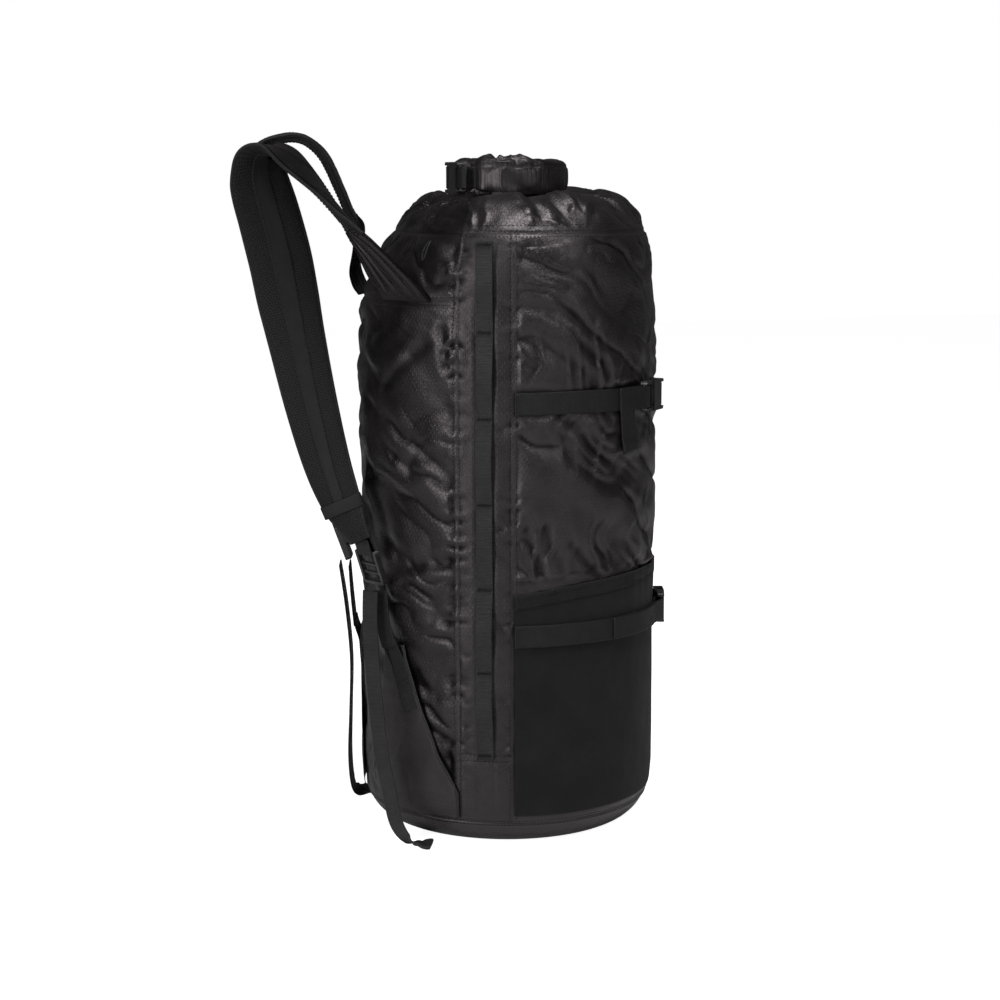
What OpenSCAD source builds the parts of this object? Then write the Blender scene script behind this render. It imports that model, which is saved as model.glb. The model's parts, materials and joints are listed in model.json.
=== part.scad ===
// Roll-top compression sack with a pack harness, stuffed full and standing on its base.
// Origin: centre of the base, on the ground. +Z is up, +Y is the back panel that faces the
// wearer, -Y is the front with the pocket, and -X is the wearer's left.
// Angles round the sack are in degrees from +X toward +Y, so 90 is the back, 270 the front.

/* [Sack] */
// Outer diameter of the stuffed sack
sack_d = 274; // [266:1:280]
// Diameter of the flat middle of the base
base_d = 228; // [216:1:234]
// Height of the rounding between base and side
base_round_h = 44; // [36:1:52]
// Height at which the domed top begins
dome_z = 515; // [505:1:520]
// Height of the dome itself
dome_h = 66.5; // [62:0.5:67]
// Thickness of the fabric, with its lining and its seam allowances
fabric_t = 1.6; // [1:0.1:2]
// Clearance between neighbouring sewn panels
seam_gap = 0.2; // [0.1:0.05:0.4]

/* [Seams] */
// Height of the seam round the bottom panel
bottom_seam_z = 23; // [20:1:26]
// Height of the seam at the foot of each side strip
foot_seam_z = 84; // [76:1:92]
// Height of the seam across the front, under the top panel
top_seam_z = 549; // [544:1:554]
// Height of the yoke seam that holds the shoulder straps
yoke_seam_z = 490; // [484:1:496]
// Angle at which a side strip meets the front panel, from straight out to the side
strip_front_angle = 17.5; // [16:0.5:18]
// Angle at which a side strip meets the back panel
strip_back_angle = 39; // [38:0.5:40]

/* [Roll top] */
// Radius of the ring that the rolled collar is bent into
roll_ring_r = 41; // [41:0.5:43]
// Radius of the roll itself
roll_tube_r = 15.5; // [14.5:0.5:15.5]
// Height of the middle of the roll
roll_z = 598; // [598:0.5:600]
// Angle at which each half of the roll ends, beside the buckle
roll_end_angle = 48; // [44:1:48]
// Outer radius of the gathered neck inside the ring
neck_r = 25; // [22:0.5:25]

/* [Webbing] */
// Width of the strap webbing
webbing_w = 20; // [18:0.5:20]
// Thickness of all webbing
webbing_t = 1.4; // [1:0.1:1.5]
// Width of the daisy-chain webbing
daisy_w = 15; // [12:0.5:16]
// Number of bartacks down each daisy chain
daisy_tacks = 7; // [5:1:9]
// How far a daisy-chain loop stands off the strip
daisy_bow = 2.2; // [1.6:0.1:3]
// Height of the upper compression strap
upper_strap_z = 403; // [395:1:410]
// Height of the lower compression strap
lower_strap_z = 196; // [190:1:202]
// Angle of the upper compression buckle
upper_buckle_angle = 225; // [220:1:230]
// Angle of the lower compression buckle
lower_buckle_angle = 251; // [246:1:256]
// Length of the hanging end of the upper strap
upper_tail_l = 48; // [40:1:60]

/* [Buckles] */
// Width of a side-release buckle
buckle_w = 28; // [27:0.5:29]
// Thickness of a side-release buckle
buckle_t = 8.6; // [8.6:0.1:9]
// Radius of every bar that webbing turns round
bar_r = 1.5; // [1.4:0.05:1.5]

/* [Pocket] */
// Height of the top edge of the stretch pocket
pocket_top_z = 243; // [236:1:250]
// Depth of the pocket's hem
hem_h = 12; // [8:1:16]
// Thickness of the stretch fabric
pocket_t = 1.8; // [1.2:0.1:2]

/* [Shoulder straps] */
// Thickness of a padded shoulder strap
strap_t = 7; // [6:0.5:8]
// Width of the bound edge of a shoulder strap
binding_w = 2.4; // [2:0.1:3]
// Height of a ladder lock
lock_h = 34; // [32:1:36]

/* [Hidden] */

fine = 144;                      // facets of a large round surface
small = 48;                      // facets of a small round surface
far = 400;                       // longer than anything it cuts
eps = 0.01;

sack_r = sack_d / 2;
back = 90;                       // angle of the middle of the back
front = 270;                     // angle of the middle of the front
strip_mid = (strip_front_angle + strip_back_angle) / 2;
seam_gap_angle = seam_gap / sack_r * 180 / PI;

webbing_gap = 0.3;               // between webbing and what lies under it
bar_gap = 0.15;                  // between webbing and the bar it turns round
turn_r = bar_r + bar_gap + webbing_t / 2;
strap_r = sack_r + webbing_gap + webbing_t / 2;
pocket_r = sack_r + webbing_gap;
lower_strap_r = pocket_r + pocket_t + webbing_gap + webbing_t / 2;
buckle_lift = webbing_t / 2 + 0.4;

shell_z = 1.2;                   // wall over and under a buckle's cavity
prong_t = 3.2;
prong_root = [-1.5, 8.2];
male_bar_x = -8.5;
female_bar_x = 20.5;
roll_buckle_shift = -3.25;       // centres the roll's buckle on the back
roll_buckle_out = 10;            // how far the roll's buckle stands out from the ring
roll_buckle_r = roll_ring_r + roll_buckle_out - buckle_t / 2;

steps = 7;                       // steps between two points of a curved strap

// ---- helpers ----

// Radius of the sack's outside, less an inset, at a fraction of the way up a rounding
function base_r_at(a, inset) =
    base_d / 2 + (sack_r - inset - base_d / 2) * cos(a);
function base_z_at(a, inset) =
    base_round_h - (base_round_h - inset) * sin(a);
function dome_r_at(a, inset) =
    neck_r + 0.3 + (sack_r - inset - neck_r - 0.3) * cos(a);
function dome_z_at(a, inset) =
    dome_z + (dome_h - inset) * sin(a);

// One side of the sack's profile, from the base to the top of the dome
function profile(inset) = concat(
    [for (a = [90:-9:0]) [base_r_at(a, inset), base_z_at(a, inset)]],
    [for (a = [0:7.5:90]) [dome_r_at(a, inset), dome_z_at(a, inset)]]
);

function reversed(list) = [for (i = [len(list) - 1:-1:0]) list[i]];
function unit(v) = v / norm(v);
function on_circle(r, a) = [r * cos(a), r * sin(a)];

// Outline of a band of thickness t whose centre line is the 2D path
function side_step(path, i) =
    let (ahead = path[min(i + 1, len(path) - 1)], behind = path[max(i - 1, 0)])
    let (d = unit(ahead - behind))
    [-d[1], d[0]];
function band_outline(path, t) = concat(
    [for (i = [0:len(path) - 1]) path[i] + side_step(path, i) * t / 2],
    reversed([for (i = [0:len(path) - 1]) path[i] - side_step(path, i) * t / 2])
);

// A smooth curve through the given points, which may hold more than three numbers each
function curve_point(p, i, u) =
    let (a = p[max(i - 1, 0)], b = p[i], c = p[i + 1], d = p[min(i + 2, len(p) - 1)])
    0.5 * (2 * b + (c - a) * u + (2 * a - 5 * b + 4 * c - d) * u * u
        + (3 * b - a - 3 * c + d) * u * u * u);
function curve(p) = concat(
    [for (i = [0:len(p) - 2], k = [0:steps - 1]) curve_point(p, i, k / steps)],
    [p[len(p) - 1]]
);
function place(q) = [q[0], q[1], q[2]];

// Wall of the sack between two heights, over part of the way round
module wall(from_z, to_z, from_angle, to_angle) {
    rotate([0, 0, from_angle + seam_gap_angle / 2])
        rotate_extrude(angle = to_angle - from_angle - seam_gap_angle, $fn = fine)
            intersection() {
                polygon(concat(profile(0), reversed(profile(fabric_t))));
                translate([0, from_z + seam_gap / 2])
                    square([sack_r + 1, to_z - from_z - seam_gap]);
            }
}

// Flat-sided band that stands upright: a 2D path seen from above, and its height
module upright_band(path, z, w) {
    translate([0, 0, z - w / 2])
        linear_extrude(w)
            polygon(band_outline(path, webbing_t));
}

// Band that follows a 3D curve. Each point is [x, y, z, angle of its width, width].
// across runs from one edge (-1) to the other (1), plus a distance; depth is its thickness.
module sweep_band(points, across, depth) {
    q = curve(points);
    last = len(q) - 1;
    corners = [for (i = [0:last])
        let (d = unit(place(q[min(i + 1, last)]) - place(q[max(i - 1, 0)])))
        let (flat = [cos(q[i][3]), sin(q[i][3]), 0])
        let (wide = unit(flat - (flat * d) * d), out = cross(wide, d))
        for (k = [[0, 0], [1, 0], [1, 1], [0, 1]])
            place(q[i]) + wide * (across[k[0]][0] * q[i][4] / 2 + across[k[0]][1])
                + out * depth[k[1]]
    ];
    sides = [for (i = [0:last - 1], k = [0:3])
        let (a = 4 * i + k, b = 4 * i + (k + 1) % 4)
        each [[a, b, b + 4], [a, b + 4, a + 4]]
    ];
    ends = [[2, 1, 0], [3, 2, 0], [4 * last, 4 * last + 1, 4 * last + 2],
        [4 * last, 4 * last + 2, 4 * last + 3]];
    polyhedron(corners, concat(ends, sides));
}

// Puts a shape drawn flat (x along the strap, y up, z away from the sack) on the sack
module on_sack(angle, r, z) {
    rotate([0, 0, angle])
        translate([r, 0, z])
            rotate([90, 0, 90])
                children();
}

module both_sides() {
    children();
    mirror([1, 0, 0])
        children();
}

module block(low, high) {
    translate(low)
        cube(high - low);
}

// Plate with its four upright corners rounded
module rounded_plate(size, r) {
    linear_extrude(size[2])
        union() {
            translate([r, 0])
                square([size[0] - 2 * r, size[1]]);
            translate([0, r])
                square([size[0], size[1] - 2 * r]);
            for (x = [r, size[0] - r], y = [r, size[1] - r])
                translate([x, y])
                    circle(r, $fn = small);
        }
}

// ---- sewn body ----

module front_panel() {
    color("#1c1a1c")
        wall(bottom_seam_z, top_seam_z, 180 - strip_front_angle, 360 + strip_front_angle);
}

module back_panel() {
    color("#191819")
        wall(bottom_seam_z, yoke_seam_z, strip_back_angle, 180 - strip_back_angle);
}

port_angle = 132;
port_z = 534;
port_h = 18;
port_w = 3;
port_r = 130.6;

// Cuts the upright slit of the hose port
module port_slit(extra) {
    on_sack(port_angle, port_r - 12, port_z)
        block([-port_w / 2 - extra, -port_h / 2 - extra, 0],
            [port_w / 2 + extra, port_h / 2 + extra, 24]);
}

module back_yoke() {
    color("#1c1a1c")
        difference() {
            wall(yoke_seam_z, dome_z + dome_h + 1, strip_back_angle, 180 - strip_back_angle);
            port_slit(0);
        }
}

module hose_port() {
    welt_w = 12;
    welt_h = port_h + 10;
    color("#0e0e0f")
        difference() {
            on_sack(port_angle, port_r + 4.2, port_z)
                rotate([-14, 0, 0])
                    translate([-welt_w / 2, -welt_h / 2, 0])
                        rounded_plate([welt_w, welt_h, fabric_t], 4);
            port_slit(eps);
        }
}

module top_panel() {
    color("#1e1c1e")
        wall(top_seam_z, dome_z + dome_h + 1, 180 - strip_back_angle, 360 + strip_back_angle);
}

module side_strip() {
    color("#201e20")
        wall(foot_seam_z, top_seam_z, strip_front_angle, strip_back_angle);
}

module foot_patches() {
    color("#201e20")
        both_sides()
            wall(bottom_seam_z, foot_seam_z, strip_front_angle, strip_back_angle);
}

module bottom_panel() {
    color("#161516")
        rotate_extrude($fn = fine)
            intersection() {
                polygon(concat([[0, 0]], profile(0), reversed(profile(fabric_t)),
                    [[0, fabric_t]]));
                square([sack_r + 1, bottom_seam_z - seam_gap / 2]);
            }
}

// Tape bound over the raw edges of the bottom seam, inside the sack
module bottom_seam_tape() {
    tape_w = 6;
    tape_r = 126;
    color("#0d0d0d")
        translate([0, 0, bottom_seam_z + 4])
            rotate_extrude($fn = fine)
                translate([tape_r, 0])
                    square([webbing_t, tape_w]);
}

// Collar where it gathers and rises into the roll
module neck() {
    neck_low = dome_z + dome_h - 3;
    color("#181718")
        translate([0, 0, neck_low])
            difference() {
                cylinder(r = neck_r, h = roll_z + 6 - neck_low, $fn = fine);
                translate([0, 0, -1])
                    cylinder(r = neck_r - fabric_t, h = far, $fn = fine);
            }
}

// ---- roll top ----

roll_split = 0.5;                // half the gap between the two halves, in degrees
stiffener_w = 20;
stiffener_t = 1.4;

// Right half of the ring; the left half is its mirror image
module roll_half() {
    slack = 0.8;
    color("#1a181a")
        translate([0, 0, roll_z])
            rotate([0, 0, -90 + roll_split])
                rotate_extrude(angle = 90 - roll_split + roll_end_angle, $fn = fine)
                    translate([roll_ring_r, 0])
                        difference() {
                            circle(roll_tube_r, $fn = small);
                            square([stiffener_t + 2 * slack, stiffener_w + 2 * slack],
                                center = true);
                        }
}

// Strip of stiffener sewn in the mouth's hem, at the heart of the roll
module roll_stiffener() {
    color("#3a3a3c")
        translate([0, 0, roll_z])
            rotate([0, 0, -90 + 2 * roll_split])
                rotate_extrude(angle = 86 - roll_split + roll_end_angle, $fn = fine)
                    translate([roll_ring_r - stiffener_t / 2, -stiffener_w / 2])
                        square([stiffener_t, stiffener_w]);
}

// Webbing tab from one end of the roll round a buckle's bar, for the bar's place in x
module roll_tab(bar_x) {
    bar_y = roll_buckle_r + buckle_t / 2;
    root = on_circle(roll_ring_r + 1.5, roll_end_angle + 1.6);
    turn = [for (a = [270:-15:90]) [bar_x, bar_y] + turn_r * [cos(a), sin(a)]];
    path = concat([root, root + [-4.2, 5.6]], turn, [[bar_x + 5, bar_y + turn_r - 0.4]]);
    color("#101011")
        upright_band(path, roll_z, webbing_w);
}

// ---- side-release buckle, drawn flat: x from male to female, mouth at x = 0 ----

module buckle_bar(x) {
    translate([x, 0, buckle_t / 2])
        rotate([90, 0, 0])
            cylinder(r = bar_r, h = buckle_w - 4, center = true, $fn = small);
}

module buckle_female() {
    half_w = buckle_w / 2;
    cavity_end = 15.8;
    slot_from = 17.2;
    lug_end = 22.5;
    rail_w = 3;
    color("#0b0b0c") {
        difference() {
            translate([-2, -half_w, 0])
                rounded_plate([lug_end + 2, buckle_w, buckle_t], 2);
            block([-3, -half_w - 1, -1], [0, half_w + 1, buckle_t + 1]);
            block([-1, -half_w + 1.4, shell_z], [cavity_end, half_w - 1.4, buckle_t - shell_z]);
            block([5, -half_w - 1, shell_z], [14, half_w + 1, buckle_t - shell_z]);
            block([slot_from, -half_w + rail_w, -1], [far, half_w - rail_w, buckle_t + 1]);
        }
        buckle_bar(female_bar_x);
    }
}

module buckle_male() {
    half_w = buckle_w / 2;
    rail_w = 3.1;
    frame_from = -16;
    block_from = -4.2;
    front_x = -0.3;
    root_gap = 0.06;
    color("#0b0b0c") {
        difference() {
            translate([frame_from, -half_w, shell_z])
                rounded_plate([-frame_from + 2, buckle_w, buckle_t - 2 * shell_z], 2);
            block([front_x, -far, -1], [far, far, buckle_t]);
            block([frame_from - 1, -half_w + rail_w, -1],
                [block_from, half_w - rail_w, buckle_t]);
            for (side = [-1, 1])
                translate([prong_root[0], side * prong_root[1], 0]) {
                    cylinder(r = 1.3 + root_gap, h = buckle_t, $fn = small);
                    block([0, -1.3 - root_gap, 0], [4, 1.3 + root_gap, buckle_t]);
                }
        }
        buckle_bar(male_bar_x);
        buckle_bar(frame_from + bar_r);
        block([front_x - 1, -1.8, buckle_t / 2 - prong_t / 2],
            [13, 1.8, buckle_t / 2 + prong_t / 2]);
    }
}

// One springy prong of the male half, with the barb that is pinched to release it
module buckle_prong(side) {
    tip_x = 15;
    barb_x = 6;
    color("#0b0b0c")
        scale([1, side, 1])
            translate([0, 0, buckle_t / 2 - prong_t / 2])
                linear_extrude(prong_t)
                    union() {
                        translate(prong_root)
                            circle(1.3, $fn = small);
                        polygon([
                            prong_root + [0, -1], prong_root + [0, 1],
                            [barb_x, prong_root[1] + 1], [barb_x + 1.5, 12.2],
                            [tip_x - 4, 12.2], [tip_x, 10], [tip_x - 1, prong_root[1] - 1]
                        ]);
                    }
}

// ---- compression straps ----

// Half of a strap that is sewn in the left side strip and passes under the male half
module strap_near(r, z, buckle_angle) {
    from_angle = 180 - strip_front_angle + 0.3;
    to_angle = buckle_angle + male_bar_x / r * 180 / PI;
    count = 24;
    color("#121213")
        upright_band([for (i = [0:count])
            on_circle(r, from_angle + (to_angle - from_angle) * i / count)], z, webbing_w);
}

// Half of a strap that is sewn in the right side strip and turns round the female's bar
module strap_far(r, z, buckle_angle) {
    base_r = r + buckle_lift;
    bar = [base_r + buckle_t / 2, female_bar_x];
    under = bar - [turn_r, 0];
    reach = acos(r / norm(under));
    touch_angle = atan2(under[1], under[0]) + reach;
    touch = on_circle(r, touch_angle);
    along = unit(touch - under);
    away = [along[1], -along[0]];
    top_leg = [for (s = [26, 12]) under + along * s + away * (webbing_t + bar_gap)];
    turn = [for (a = [30:-15:-180]) bar + turn_r * [cos(a), sin(a)]];
    end_angle = 360 + strip_front_angle - 0.3 - buckle_angle;
    count = 40;
    wrap = [for (i = [0:count])
        on_circle(r, touch_angle + (end_angle - touch_angle) * i / count)];
    color("#121213")
        rotate([0, 0, buckle_angle])
            upright_band(concat(top_leg, turn, wrap), z, webbing_w);
}

// Free end of a strap: round the male half's bar, then back over the strap by an angle
module strap_tail(r, z, buckle_angle, back_angle) {
    base_r = r + buckle_lift;
    tail_r = r + webbing_t + webbing_gap;
    bar = [base_r + buckle_t / 2, male_bar_x];
    turn = [for (a = [180:-15:0]) bar + turn_r * [cos(a), sin(a)]];
    settle = -14;
    count = 16;
    lie = [for (i = [0:count]) on_circle(tail_r, settle + (-back_angle - settle) * i / count)];
    under_leg = [[bar[0] - turn_r, male_bar_x - 3]];
    over_leg = [[bar[0] + turn_r - 0.2, male_bar_x - 8]];
    color("#161617")
        rotate([0, 0, buckle_angle])
            upright_band(concat(under_leg, turn, over_leg, lie), z, webbing_w);
}

upper_tail_angle = 19;           // how far back the upper strap's free end reaches
lower_tail_angle = 48;

module upper_strap_tail() {
    hang_angle = upper_buckle_angle - upper_tail_angle + 4;
    hang_r = strap_r + webbing_t + webbing_gap - webbing_t / 2;
    strap_tail(strap_r, upper_strap_z, upper_buckle_angle, upper_tail_angle);
    color("#161617")
        on_sack(hang_angle, hang_r, upper_strap_z)
            block([-webbing_w / 2, -upper_tail_l, 0], [webbing_w / 2, webbing_w / 2, webbing_t]);
}

module upper_buckle_place() {
    on_sack(upper_buckle_angle, strap_r + buckle_lift, upper_strap_z)
        children();
}

module lower_buckle_place() {
    on_sack(lower_buckle_angle, lower_strap_r + buckle_lift, lower_strap_z)
        children();
}

module roll_buckle_place() {
    on_sack(back, roll_buckle_r, roll_z)
        translate([roll_buckle_shift, 0, 0])
            children();
}

// ---- pocket and daisy chains ----

module pocket_wall(from_z, to_z, r, t) {
    rotate([0, 0, 180 - strip_front_angle + 0.4])
        rotate_extrude(angle = 180 + 2 * strip_front_angle - 0.8, $fn = fine)
            translate([r, from_z])
                square([t, to_z - from_z]);
}

module pocket() {
    color("#0c0c0d")
        pocket_wall(base_round_h, pocket_top_z - hem_h, pocket_r, pocket_t);
}

module pocket_hem() {
    color("#111112")
        pocket_wall(pocket_top_z - hem_h + seam_gap, pocket_top_z, pocket_r, pocket_t);
}

tack_h = 3;
daisy_low = foot_seam_z + 3;
daisy_high = top_seam_z - 8;
tack_pitch = (daisy_high - daisy_low) / (daisy_tacks - 1);

// Height of the daisy chain off the strip, at a height up the sack
function daisy_lift(z) =
    let (u = (z - daisy_low) / tack_pitch)
    webbing_gap + webbing_t / 2 + daisy_bow * pow(sin(180 * u), 2);

module daisy_chain() {
    count = 12 * (daisy_tacks - 1);
    path = [for (i = [0:count])
        let (z = daisy_low - tack_h + (daisy_high - daisy_low + 2 * tack_h) * i / count)
        [sack_r + daisy_lift(z), z]];
    color("#0f0f10")
        rotate([0, 0, strip_mid])
            rotate([90, 0, 0])
                linear_extrude(daisy_w, center = true)
                    polygon(band_outline(path, webbing_t));
}

module daisy_bartacks() {
    thread_t = 0.6;
    color("#050505")
        both_sides()
            for (i = [0:daisy_tacks - 1])
                on_sack(strip_mid, sack_r + webbing_gap + webbing_t + 0.15,
                    daisy_low + i * tack_pitch)
                    block([-daisy_w / 2 + 1, -tack_h / 2, 0],
                        [daisy_w / 2 - 1, tack_h / 2, thread_t]);
}

// ---- harness: each half is drawn for the right side, and the left one is then mirrored ----
// The straps are soft, so the two lie differently: the left one is twisted a quarter turn.

// Points are [x, y, z, angle of the width, width]
left_strap = [
    [52, 158.5, 546, -8, 38], [50, 164.5, 554.5, 0, 34], [46, 172.5, 566, 14, 34],
    [42, 187, 585, 30, 38], [39, 203, 603, 40, 46], [36, 218, 616.5, 46, 52],
    [33, 231, 621.8, 50, 54], [29, 239.5, 617.5, 56, 54], [24, 240.5, 605, 64, 54],
    [18, 236.5, 590, 74, 55], [13, 228, 565, 84, 55], [10, 217.5, 526, 90, 55],
    [11, 211, 490, 90, 54], [15, 205, 455, 92, 50], [23, 195.5, 401, 98, 45],
    [31, 184, 348, 108, 40], [37, 173, 312, 122, 36], [42, 164.5, 291, 140, 31],
    [45.6, 156.8, 275.2, 154, 29]
];
right_strap = [
    [52.5, 125.5, 549.5, -21, 42], [48, 137, 567, -20, 42], [44, 146.5, 586, -20, 46],
    [40, 162, 615.5, -20, 52], [37.5, 178, 630, -20, 54], [35.5, 194, 634, -20, 54],
    [34, 210, 631, -20, 54], [33, 222, 625, -20, 54], [32, 229.5, 615.5, -20, 54],
    [31.3, 231, 603, -20, 54], [30.7, 227, 587, -20, 54], [30, 217.5, 560, -20, 54],
    [30, 208, 524, -20, 54],
    [31, 201, 488, -20, 52], [32, 193, 451, -20, 49], [34, 183, 395, -20, 45],
    [38, 169.5, 338, -20, 39], [42, 161.5, 302, -20, 33], [44.4, 157.5, 283, -20, 29]
];
left_anchor = [[67.8, 124.5, 493, -29, 62], [62, 139, 518, -26, 54], [57, 151, 538, -22, 44]];
right_anchor = [[67.8, 124.5, 493, -29, 62], [63, 132, 520, -26, 54], [55, 127.5, 542, -22, 44]];
cover_t = 0.9;
layer_gap = 1.4;

// Smooth cloth on the side that shows when the strap is worn
module strap_cover(points) {
    color("#1b1a1b")
        sweep_band(points, [[-1, 0], [1, 0]], [strap_t / 2 - cover_t, strap_t / 2]);
}

module strap_foam(points) {
    foam_t = strap_t - 2 * cover_t - 2 * layer_gap;
    inset = 2.5;
    color("#2c2c2e")
        sweep_band(points, [[-1, inset], [1, -inset]], [-foam_t / 2, foam_t / 2]);
}

module strap_mesh(points) {
    color("#0d0d0e")
        sweep_band(points, [[-1, 0], [1, 0]], [-strap_t / 2, -strap_t / 2 + cover_t]);
}

module strap_binding(points) {
    color("#0a0a0a")
        for (side = [-1, 1])
            sweep_band(points,
                side < 0 ? [[-1, -0.3 - binding_w], [-1, -0.3]] : [[1, 0.3], [1, 0.3 + binding_w]],
                [-strap_t / 2, strap_t / 2]);
}

// Sewn foot of a shoulder strap, on the yoke seam
module strap_anchor(points) {
    anchor_t = 4;
    color("#1b1a1b")
        sweep_band(points, [[-1, 0], [1, 0]], [-anchor_t / 2, anchor_t / 2]);
}

// Place of a lock's top bar: [x, y, z, angle that its width is turned by]
left_lock = [46, 151, 264, -24];
right_lock = [45, 152.8, 273, -20];
lock_lean = -20;
lock_w = 28;
lock_t = 5.2;

module lock_place(lock) {
    translate([lock[0], lock[1], lock[2]])
        rotate([lock_lean, 0, lock[3]])
            children();
}

module lock_bar(z) {
    translate([0, 0, z])
        rotate([0, 90, 0])
            cylinder(r = bar_r, h = lock_w - 4, center = true, $fn = small);
}

// Ladder lock: its top bar is at the local origin and its frame hangs down from there
module ladder_lock(lock) {
    rail_w = 3;
    color("#0b0b0c")
        lock_place(lock) {
            difference() {
                rotate([90, 0, 0])
                    translate([-lock_w / 2, -lock_h + 3, -lock_t / 2])
                        rounded_plate([lock_w, lock_h, lock_t], 3);
                block([-lock_w / 2 + rail_w, -lock_t, -lock_h + 6],
                    [lock_w / 2 - rail_w, lock_t, lock_h]);
            }
            for (z = [0, -11, -20])
                lock_bar(z);
        }
}

left_webbing = [[47, 139.5, 228.5, -24, 20], [50, 138.5, 203, -24, 20],
    [55.5, 134, 178, -23, 20]];
right_webbing = [[46, 141.5, 237.5, -20, 20], [50, 138.5, 210, -22, 20],
    [55.5, 134, 178, -23, 20]];

// Webbing from the ladder lock to the wing, and the tab that holds the lock to its strap
module harness_webbing(points, lock) {
    tab_l = 8;
    color("#141415") {
        sweep_band(points, [[-1, 0], [1, 0]], [-webbing_t / 2, webbing_t / 2]);
        lock_place(lock)
            translate([-webbing_w / 2, 0, 0])
                rotate([90, 0, 90])
                    linear_extrude(webbing_w)
                        difference() {
                            union() {
                                circle(turn_r + webbing_t / 2, $fn = small);
                                translate([-turn_r - webbing_t / 2, 0])
                                    square([2 * turn_r + webbing_t, tab_l]);
                            }
                            union() {
                                circle(turn_r - webbing_t / 2, $fn = small);
                                translate([-turn_r + webbing_t / 2, 0])
                                    square([2 * turn_r - webbing_t, far]);
                            }
                        }
    }
}

left_tail = [[48.5, 149, 229, -24, 20], [50, 150, 202, -24, 20], [54, 149.6, 166, -24, 20],
    [58, 147.4, 124, -24, 20], [66, 144.6, 80, -24, 20], [73, 140, 48, -24, 20],
    [81, 136, 20, -24, 20], [89, 128, 6.5, -26, 20], [95, 118, 3, -28, 20],
    [100, 108.5, 3, -28, 20]];
right_tail = [[47.5, 150.5, 238, -20, 20], [51, 143.5, 195, -22, 20], [56, 138, 145, -22, 20],
    [60, 138, 95, -22, 20], [65, 138, 50, -24, 20], [73, 134, 19, -24, 20],
    [80.5, 127.5, 6.5, -26, 20], [86.5, 118, 3, -28, 20], [91, 109.5, 3, -28, 20]];

module harness_tail(points) {
    color("#121213")
        sweep_band(points, [[-1, 0], [1, 0]], [-webbing_t / 2, webbing_t / 2]);
}

wing_angle = 54;
wing_t = 1.2;

// Part of a thin shell round the sack, cut to an outline of [distance round, height]
module on_wing(r, t, outline) {
    intersection() {
        rotate([0, 0, strip_back_angle + 0.6])
            rotate_extrude(angle = 46, $fn = fine)
                translate([r, bottom_seam_z])
                    square([t, far]);
        rotate([0, 0, wing_angle])
            rotate([90, 0, 90])
                linear_extrude(far)
                    polygon(outline);
    }
}

// Triangular wings sewn in the foot of each side strip's back seam
module strap_wings() {
    color("#1d1b1d")
        both_sides()
            on_wing(pocket_r, wing_t, [[57, 172], [38, 178], [7, 137], [-17, 84], [-36, 50],
                [-36, 27], [62, 27], [60, 90]]);
}

// End of the harness webbing, sewn down along the upper edge of each wing
module wing_webbing() {
    color("#141415")
        both_sides()
            on_wing(pocket_r + wing_t + webbing_gap, webbing_t,
                [[55, 171], [37.5, 176.5], [10, 140], [27, 129]]);
}

// ---- loops at the top of the side strips ----

loop_angle = 22;
loop_r = 83;
loop_z = 577.5;
loop_lean = -32;

module loop_place() {
    on_sack(loop_angle, loop_r, loop_z)
        rotate([-90 - loop_lean, 0, 0])
            children();
}

// Small moulded loop: its bar is at the local origin, along x
module side_loop() {
    loop_w = 22;
    loop_l = 13;
    loop_t = 3.4;
    rail_w = 2.6;
    color("#0b0b0c")
        loop_place() {
            difference() {
                translate([-loop_w / 2, -bar_r, -loop_t / 2])
                    rounded_plate([loop_w, loop_l, loop_t], 1.4);
                block([-loop_w / 2 + rail_w, -far, -far], [loop_w / 2 - rail_w, loop_l - 4.4, far]);
            }
            rotate([0, 90, 0])
                cylinder(r = bar_r, h = loop_w - 3, center = true, $fn = small);
        }
}

// Folded webbing that holds each loop
module side_loop_tabs() {
    tab_w = 15;
    tab_l = 12;
    color("#101011")
        both_sides()
            loop_place()
                translate([-tab_w / 2, 0, 0])
                    rotate([90, 0, 90])
                        linear_extrude(tab_w)
                            difference() {
                                union() {
                                    circle(turn_r + webbing_t / 2, $fn = small);
                                    translate([-tab_l, -turn_r - webbing_t / 2])
                                        square([tab_l, 2 * turn_r + webbing_t]);
                                }
                                union() {
                                    circle(turn_r - webbing_t / 2, $fn = small);
                                    translate([-far, -turn_r + webbing_t / 2])
                                        square([far, 2 * turn_r - webbing_t]);
                                }
                            }
}

// ---- nodes ----

front_panel();
back_panel();
back_yoke();
top_panel();
mirror([1, 0, 0]) side_strip();  // side_strip_left
side_strip();  // side_strip_right
foot_patches();
bottom_panel();
bottom_seam_tape();
neck();
mirror([1, 0, 0]) roll_half();  // roll_left
roll_half();  // roll_right
mirror([1, 0, 0]) roll_stiffener();  // roll_stiffener_left
roll_stiffener();  // roll_stiffener_right
mirror([1, 0, 0]) roll_tab(female_bar_x + roll_buckle_shift);  // roll_tab_left
roll_tab(-male_bar_x - roll_buckle_shift);  // roll_tab_right
roll_buckle_place() buckle_female();  // roll_buckle_female
roll_buckle_place() buckle_male();  // roll_buckle_male
roll_buckle_place() buckle_prong(1);  // roll_prong_top
roll_buckle_place() buckle_prong(-1);  // roll_prong_bottom
mirror([1, 0, 0]) daisy_chain();  // daisy_chain_left
daisy_chain();  // daisy_chain_right
daisy_bartacks();
pocket();
pocket_hem();
strap_near(strap_r, upper_strap_z, upper_buckle_angle);  // upper_strap_near
strap_far(strap_r, upper_strap_z, upper_buckle_angle);  // upper_strap_far
upper_buckle_place() buckle_female();  // upper_buckle_female
upper_buckle_place() buckle_male();  // upper_buckle_male
upper_buckle_place() buckle_prong(1);  // upper_prong_top
upper_buckle_place() buckle_prong(-1);  // upper_prong_bottom
upper_strap_tail();
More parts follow.
